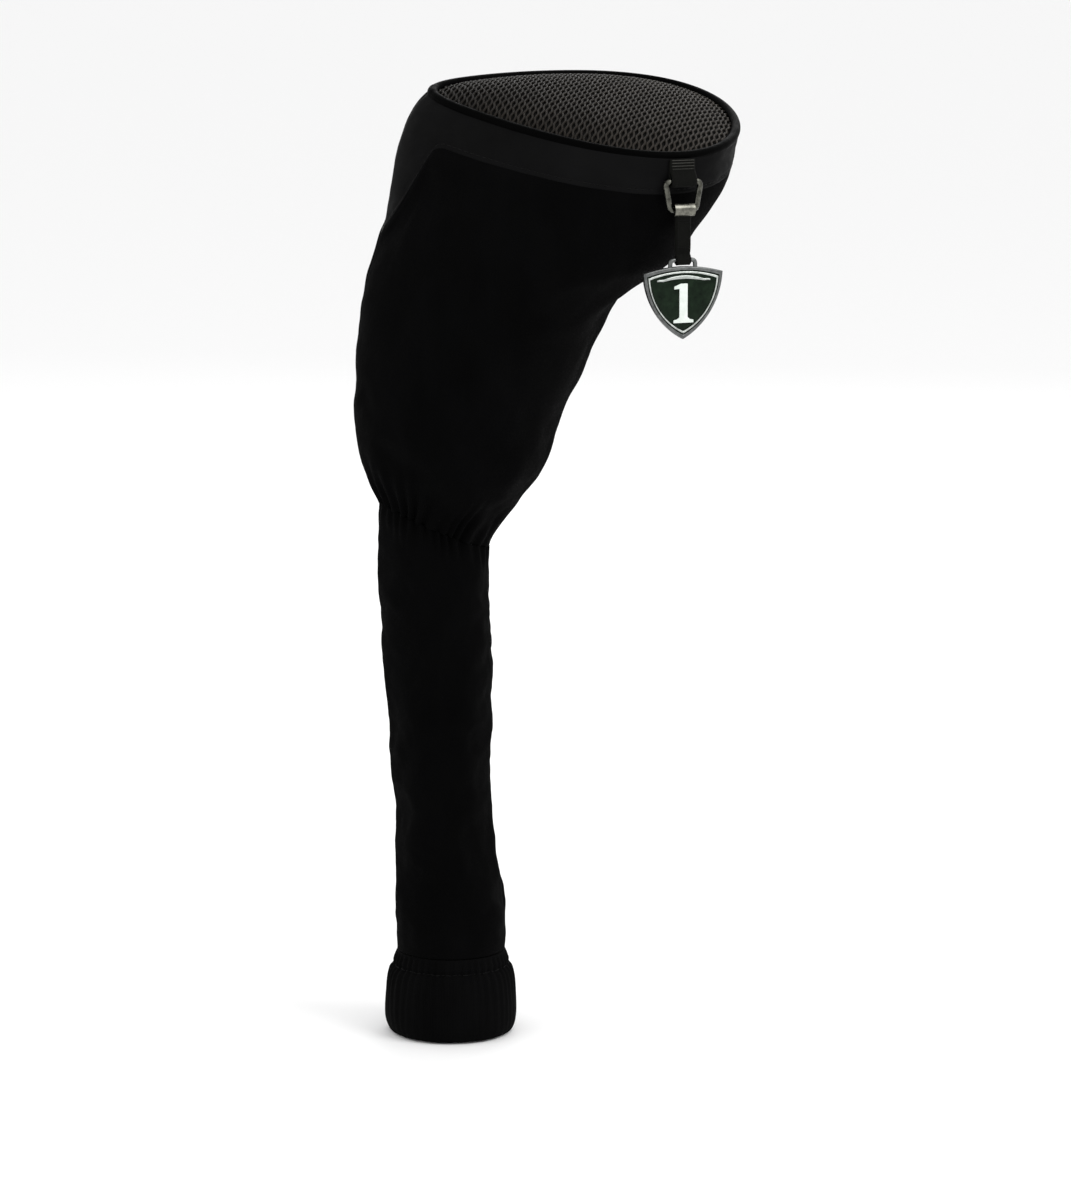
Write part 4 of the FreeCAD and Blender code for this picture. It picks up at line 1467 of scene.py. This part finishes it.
def arcThrough(a, b, c, share):
    # a point of the circle through three points, from a to c
    d = 2 * (a.x * (b.y - c.y) + b.x * (c.y - a.y) + c.x * (a.y - b.y))
    aa, bb, cc = a.dot(a), b.dot(b), c.dot(c)
    centre = Vector(((aa * (b.y - c.y) + bb * (c.y - a.y) + cc * (a.y - b.y)) / d,
                     (aa * (c.x - b.x) + bb * (a.x - c.x) + cc * (b.x - a.x)) / d))
    start, end = a - centre, c - centre
    turn = math.atan2(start.x * end.y - start.y * end.x, start.dot(end)) * share
    return centre + Vector((start.x * math.cos(turn) - start.y * math.sin(turn),
                            start.x * math.sin(turn) + start.y * math.cos(turn)))


def shieldShell(name, profile, place, closeFront, closeBack, marks=None):
    # rings of the outline, each at an inset and a depth; marks gives a ring its material
    steps = shieldValues["sideSteps"] * 3
    points = []
    for inset, y in profile:
        for k in range(steps):
            x, z = shieldPoint(inset, k / steps)
            points.append(place @ Vector((x, y, z)))
    faces = gridFaces(len(profile), steps)
    paint = [marks[k // steps] if marks else 0 for k in range(len(faces))]
    middle = shieldMiddle()
    for row, close in ((0, closeBack), (len(profile) - 1, closeFront)):
        if close is None:
            continue
        inset, y = profile[row]
        last = row * steps
        for share, rise in ((0.6, 0.7), (0.25, 0.95)):
            first = len(points)
            for k in range(steps):
                x, z = shieldPoint(inset, k / steps)
                flat = middle.lerp(Vector((x, z)), share)
                points.append(place @ Vector((flat.x, y + close * rise, flat.y)))
            for k in range(steps):
                j = (k + 1) % steps
                faces.append((last + k, last + j, first + j, first + k))
                paint.append(0)
            last = first
        points.append(place @ Vector((middle.x, y + close, middle.y)))
        for k in range(steps):
            faces.append((last + k, last + (k + 1) % steps, len(points) - 1))
            paint.append(0)
    mesh = meshFrom(name, points, faces)
    for poly, mark in zip(mesh.polygons, paint):
        poly.material_index = mark
    obj = addObject(name, mesh)
    facesOut(obj)
    return obj


def shieldMiddle():
    values = shieldValues
    return Vector((0, values["crown"] - 0.42 * values["height"]))


scrollValues = {
    "half": 11.7 * mm,
    "rise": 2.1 * mm,
    "middle": 1.55 * mm,         # how tall the scroll is in its middle and at its ends
    "end": 0.7 * mm,
    "flick": 0.75 * mm,          # how far its ends turn up
    "steps": 56,
    "sides": 10,
}


def makeArch():
    # a plain raised scroll over the number
    values = scrollValues
    low, high = extentIn(tagPlace, "tag_arch")
    steps, sides = values["steps"], values["sides"]
    points = []
    for k in range(steps + 1):
        u = -1 + 2 * k / steps
        tall = values["middle"] + (values["end"] - values["middle"]) * abs(u) ** 1.5
        z = high[2] - values["middle"] / 2 - values["rise"] * u * u
        z += values["flick"] * smoothStep(0.72, 1, abs(u))
        for s in range(sides + 1):
            turn = math.pi * s / sides
            y = high[1] + (low[1] - high[1]) * math.sin(turn) ** 0.5
            points.append(tagPlace @ Vector((values["half"] * u, y, z + tall / 2 * math.cos(turn))))
    across = sides + 1
    faces = gridFaces(steps + 1, across)
    faces += [tuple(range(across)), tuple(reversed(range(steps * across, (steps + 1) * across)))]
    scroll = addObject("shield_arch", meshFrom("shield_arch", points, faces))
    facesOut(scroll)
    scroll.data.set_sharp_from_angle(angle=math.radians(50))
    wear(scroll, "scroll")
    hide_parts("tag_arch")
    return scroll


def makeTag():
    values = shieldValues
    front = -values["thickness"] / 2
    drop = extentIn(tagPlace, "tag_shield")[0][2] + values["height"] - values["crown"]
    place = tagPlace @ Matrix.Translation((0, 0, drop))
    # back and outer edge, front rim, groove, then the inner pale line: inset and depth in mm
    rim = [(2.6, 1.2), (0.7, 1.2), (0.3, 1.14), (0.08, 1.0), (0.0, 0.8), (0.0, -0.72),
           (0.06, -0.94), (0.22, -1.1), (0.45, -1.18), (0.9, -1.2), (1.2, -1.14), (1.42, -0.98), (1.5, -0.78),
           (1.52, -0.3), (1.86, -0.3),
           (1.9, -0.95), (2.0, -1.1), (2.15, -1.15), (2.42, -1.15), (2.6, -1.08), (2.7, -0.9), (2.74, -0.3)]
    marks = [0] * 15 + [1] * 5 + [0]
    profile = [(inset * mm, y * mm) for inset, y in rim]
    shield = shieldShell("shield_metal", profile, place, -0.02 * mm, 0.0, marks)
    wear(shield, "silver", "paleLine")
    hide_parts("tag_shield")
    level = front + values["enamelTop"]
    trough = [(1.47, 0.12), (1.55, 0.02), (1.84, 0.02), (1.93, 0.12), (1.93, 0.3), (1.47, 0.3), (1.47, 0.12)]
    pool = [(4.0, 0.3), (2.72, 0.3), (2.72, 0.16), (2.8, 0.06), (3.1, 0.0)]
    groove = shieldShell("shield_groove_enamel", [(inset * mm, level + y * mm) for inset, y in trough],
                         place, None, None)
    wear(groove, "green")
    field = shieldShell("shield_enamel", [(inset * mm, level + y * mm) for inset, y in pool],
                        place, -0.07 * mm, 0.0)
    wear(field, "green")
    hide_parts("tag_enamel")
    pieces = [(shield, "tag_metal"), (groove, "enamel"), (field, "enamel")]
    number = mergedCopy("shield_number", "tag_number")
    bevel = number.modifiers.new("soft edge", "BEVEL")
    bevel.width = values["numberEdge"]
    bevel.segments = 3
    bevel.limit_method = "ANGLE"
    bevel.angle_limit = math.radians(25)
    bake(number)
    for poly in number.data.polygons:
        poly.use_smooth = True
    number.data.set_sharp_from_angle(angle=math.radians(35))
    wear(number, "white")
    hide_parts("tag_number")
    pieces += [(number, "number_paint"), (makeArch(), "tag_metal")]
    side, foot = hangingValues["bailWidth"] / 2, -hangingValues["bailFoot"]
    leg = [(side, foot), (side, -1.4 * mm), (side - 0.35 * mm, -0.35 * mm), (side - 1.4 * mm, 0)]
    staple = [(-x, z) for x, z in leg] + [(0, 0)] + leg[::-1]
    bail = wirePath("tag_bail", rounded([Vector((x, 0, z)) for x, z in staple], False, 2),
                    hangingValues["bailWire"], False, tagPlace, "silver")
    pieces.append((bail, "tag_metal"))
    for piece, slotName in pieces:
        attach(piece, "tag")


makeTab()
makeStrap()
makeRing()
makeTag()
print("tag hung")


# rows of stitching on the cover
def sewCover():
    # along the band's turned edge
    steps = np.linalg.norm(np.diff(bandGrid, axis=0), axis=2)
    points, outwards = [], []
    for c in range(columns):
        fromEdge, r = 0.0, bandValues["rows"] - 1
        while fromEdge < bandValues["stitchInset"] and r > 1:
            r -= 1
            fromEdge += steps[r, c]
        over = (fromEdge - bandValues["stitchInset"]) / max(steps[r, c], 1e-9)
        points.append(bandGrid[r, c] * (1 - over) + bandGrid[r + 1, c] * over)
        outwards.append(bandNormals[r, c])
    sew("band_stitches", [(points, outwards, True)], "cover", "blackThread", "band")
    # round the cuff, where its elastic is held
    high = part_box("cuff")[1].z
    levels = cuffGrid[:, 0, 2]
    row = int(np.argmin(np.abs(levels - (high - cuffValues["stitchDrop"]))))
    sew("cuff_stitches", [gridLine(cuffGrid, row, 2)], "cover", "blackThread", "cuff")
    # heel tack at the tip of the band's tongue
    low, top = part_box("heel_bartack")
    tree = treeOf("pocket_front", "pocket_back", "band_front", "band_back")
    lines = []
    count = 11
    for k in range(count):
        z = low.z + 0.3 * mm + (top.z - low.z - 0.6 * mm) * k / (count - 1)
        span, outs = [], []
        for y in (-3.0, -1.5, 0, 1.5, 3.0):
            hit = tree.ray_cast(Vector((low.x - 0.05, y * mm, z)), Vector((1, 0, 0)))
            span.append(hit[0] + Vector((-0.45 * mm, 0, 0)))
            outs.append(hit[1])
        lines.append((span, outs, False))
    tack = sew("heel_tack", lines, "cover", "greyThread", "heel")
    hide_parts("heel_bartack")


sewCover()
print("stitching done")


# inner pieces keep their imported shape
def dressInner():
    inner = {
        "foam": ("crown_foam_pad", "band_padding_front", "band_padding_back"),
        "lining": ("crown_lining", "lining_front", "lining_back"),
        "elastic": ("neck_elastic", "cuff_elastic"),
        "cord": ("piping_cord",),
        "clip": ("strap_clip",),
    }
    for look, nodes in inner.items():
        for node in nodes:
            wear(frame["nodes"][node], look)


dressInner()

# floor, light and camera
studio = {
    "floorSize": 60.0,
    "floorShade": 0.93,
    "worldShade": 1.0,
    "distance": 2.0,
    "elevation": math.radians(10),
    "lens": 142.86,
    "aim": Vector((0.0359, 0, 0.1857)),
    "lightAim": Vector((0.03, 0, 0.25)),
    "lights": {      # place, size and power
        "key": ((1.1, -0.7, 1.5), 0.9, 12),
        "fill": ((-1.3, -0.9, 0.9), 1.2, 4),
        "back": ((0.3, 1.5, 1.2), 1.0, 6),
    },
}


def makeFloor():
    half = studio["floorSize"] / 2
    corners = [(-half, -half, 0), (half, -half, 0), (half, half, 0), (-half, half, 0)]
    floor = addObject("studio_floor", meshFrom("studio_floor", corners, [(0, 1, 2, 3)], False))
    look = Look("pale floor")
    shade = studio["floorShade"]
    grain = look.noise(look.objectPlace(), 90, 3)
    look.finish(look.tint(grain, (0.0, (shade * 0.985,) * 3), (1.0, (shade,) * 3)), 0.9)
    floor.data.materials.append(look.material)


def addLight(name, place, size, power):
    data = bpy.data.lights.new(name, "AREA")
    data.size = size
    data.energy = power
    lamp = bpy.data.objects.new(name, data)
    bpy.context.collection.objects.link(lamp)
    lamp.location = place
    lamp.rotation_euler = (studio["lightAim"] - Vector(place)).to_track_quat("-Z", "Y").to_euler()


def makeStudio():
    makeFloor()
    world = bpy.data.worlds.new("studio")
    world.use_nodes = True
    shade = studio["worldShade"]
    world.node_tree.nodes["Background"].inputs["Color"].default_value = (shade, shade, shade, 1)
    world.node_tree.nodes["Background"].inputs["Strength"].default_value = 1.0
    bpy.context.scene.world = world
    bpy.context.scene.view_settings.view_transform = "Standard"
    for name, settings in studio["lights"].items():
        addLight(name, *settings)
    data = bpy.data.cameras.new("camera")
    data.lens = studio["lens"]
    data.clip_end = 50
    camera = bpy.data.objects.new("camera", data)
    bpy.context.collection.objects.link(camera)
    tilt = studio["elevation"]
    camera.location = studio["aim"] + Vector((0, -math.cos(tilt), math.sin(tilt))) * studio["distance"]
    camera.rotation_euler = (math.pi / 2 - tilt, 0, 0)
    bpy.context.scene.camera = camera


makeStudio()
print("studio set")
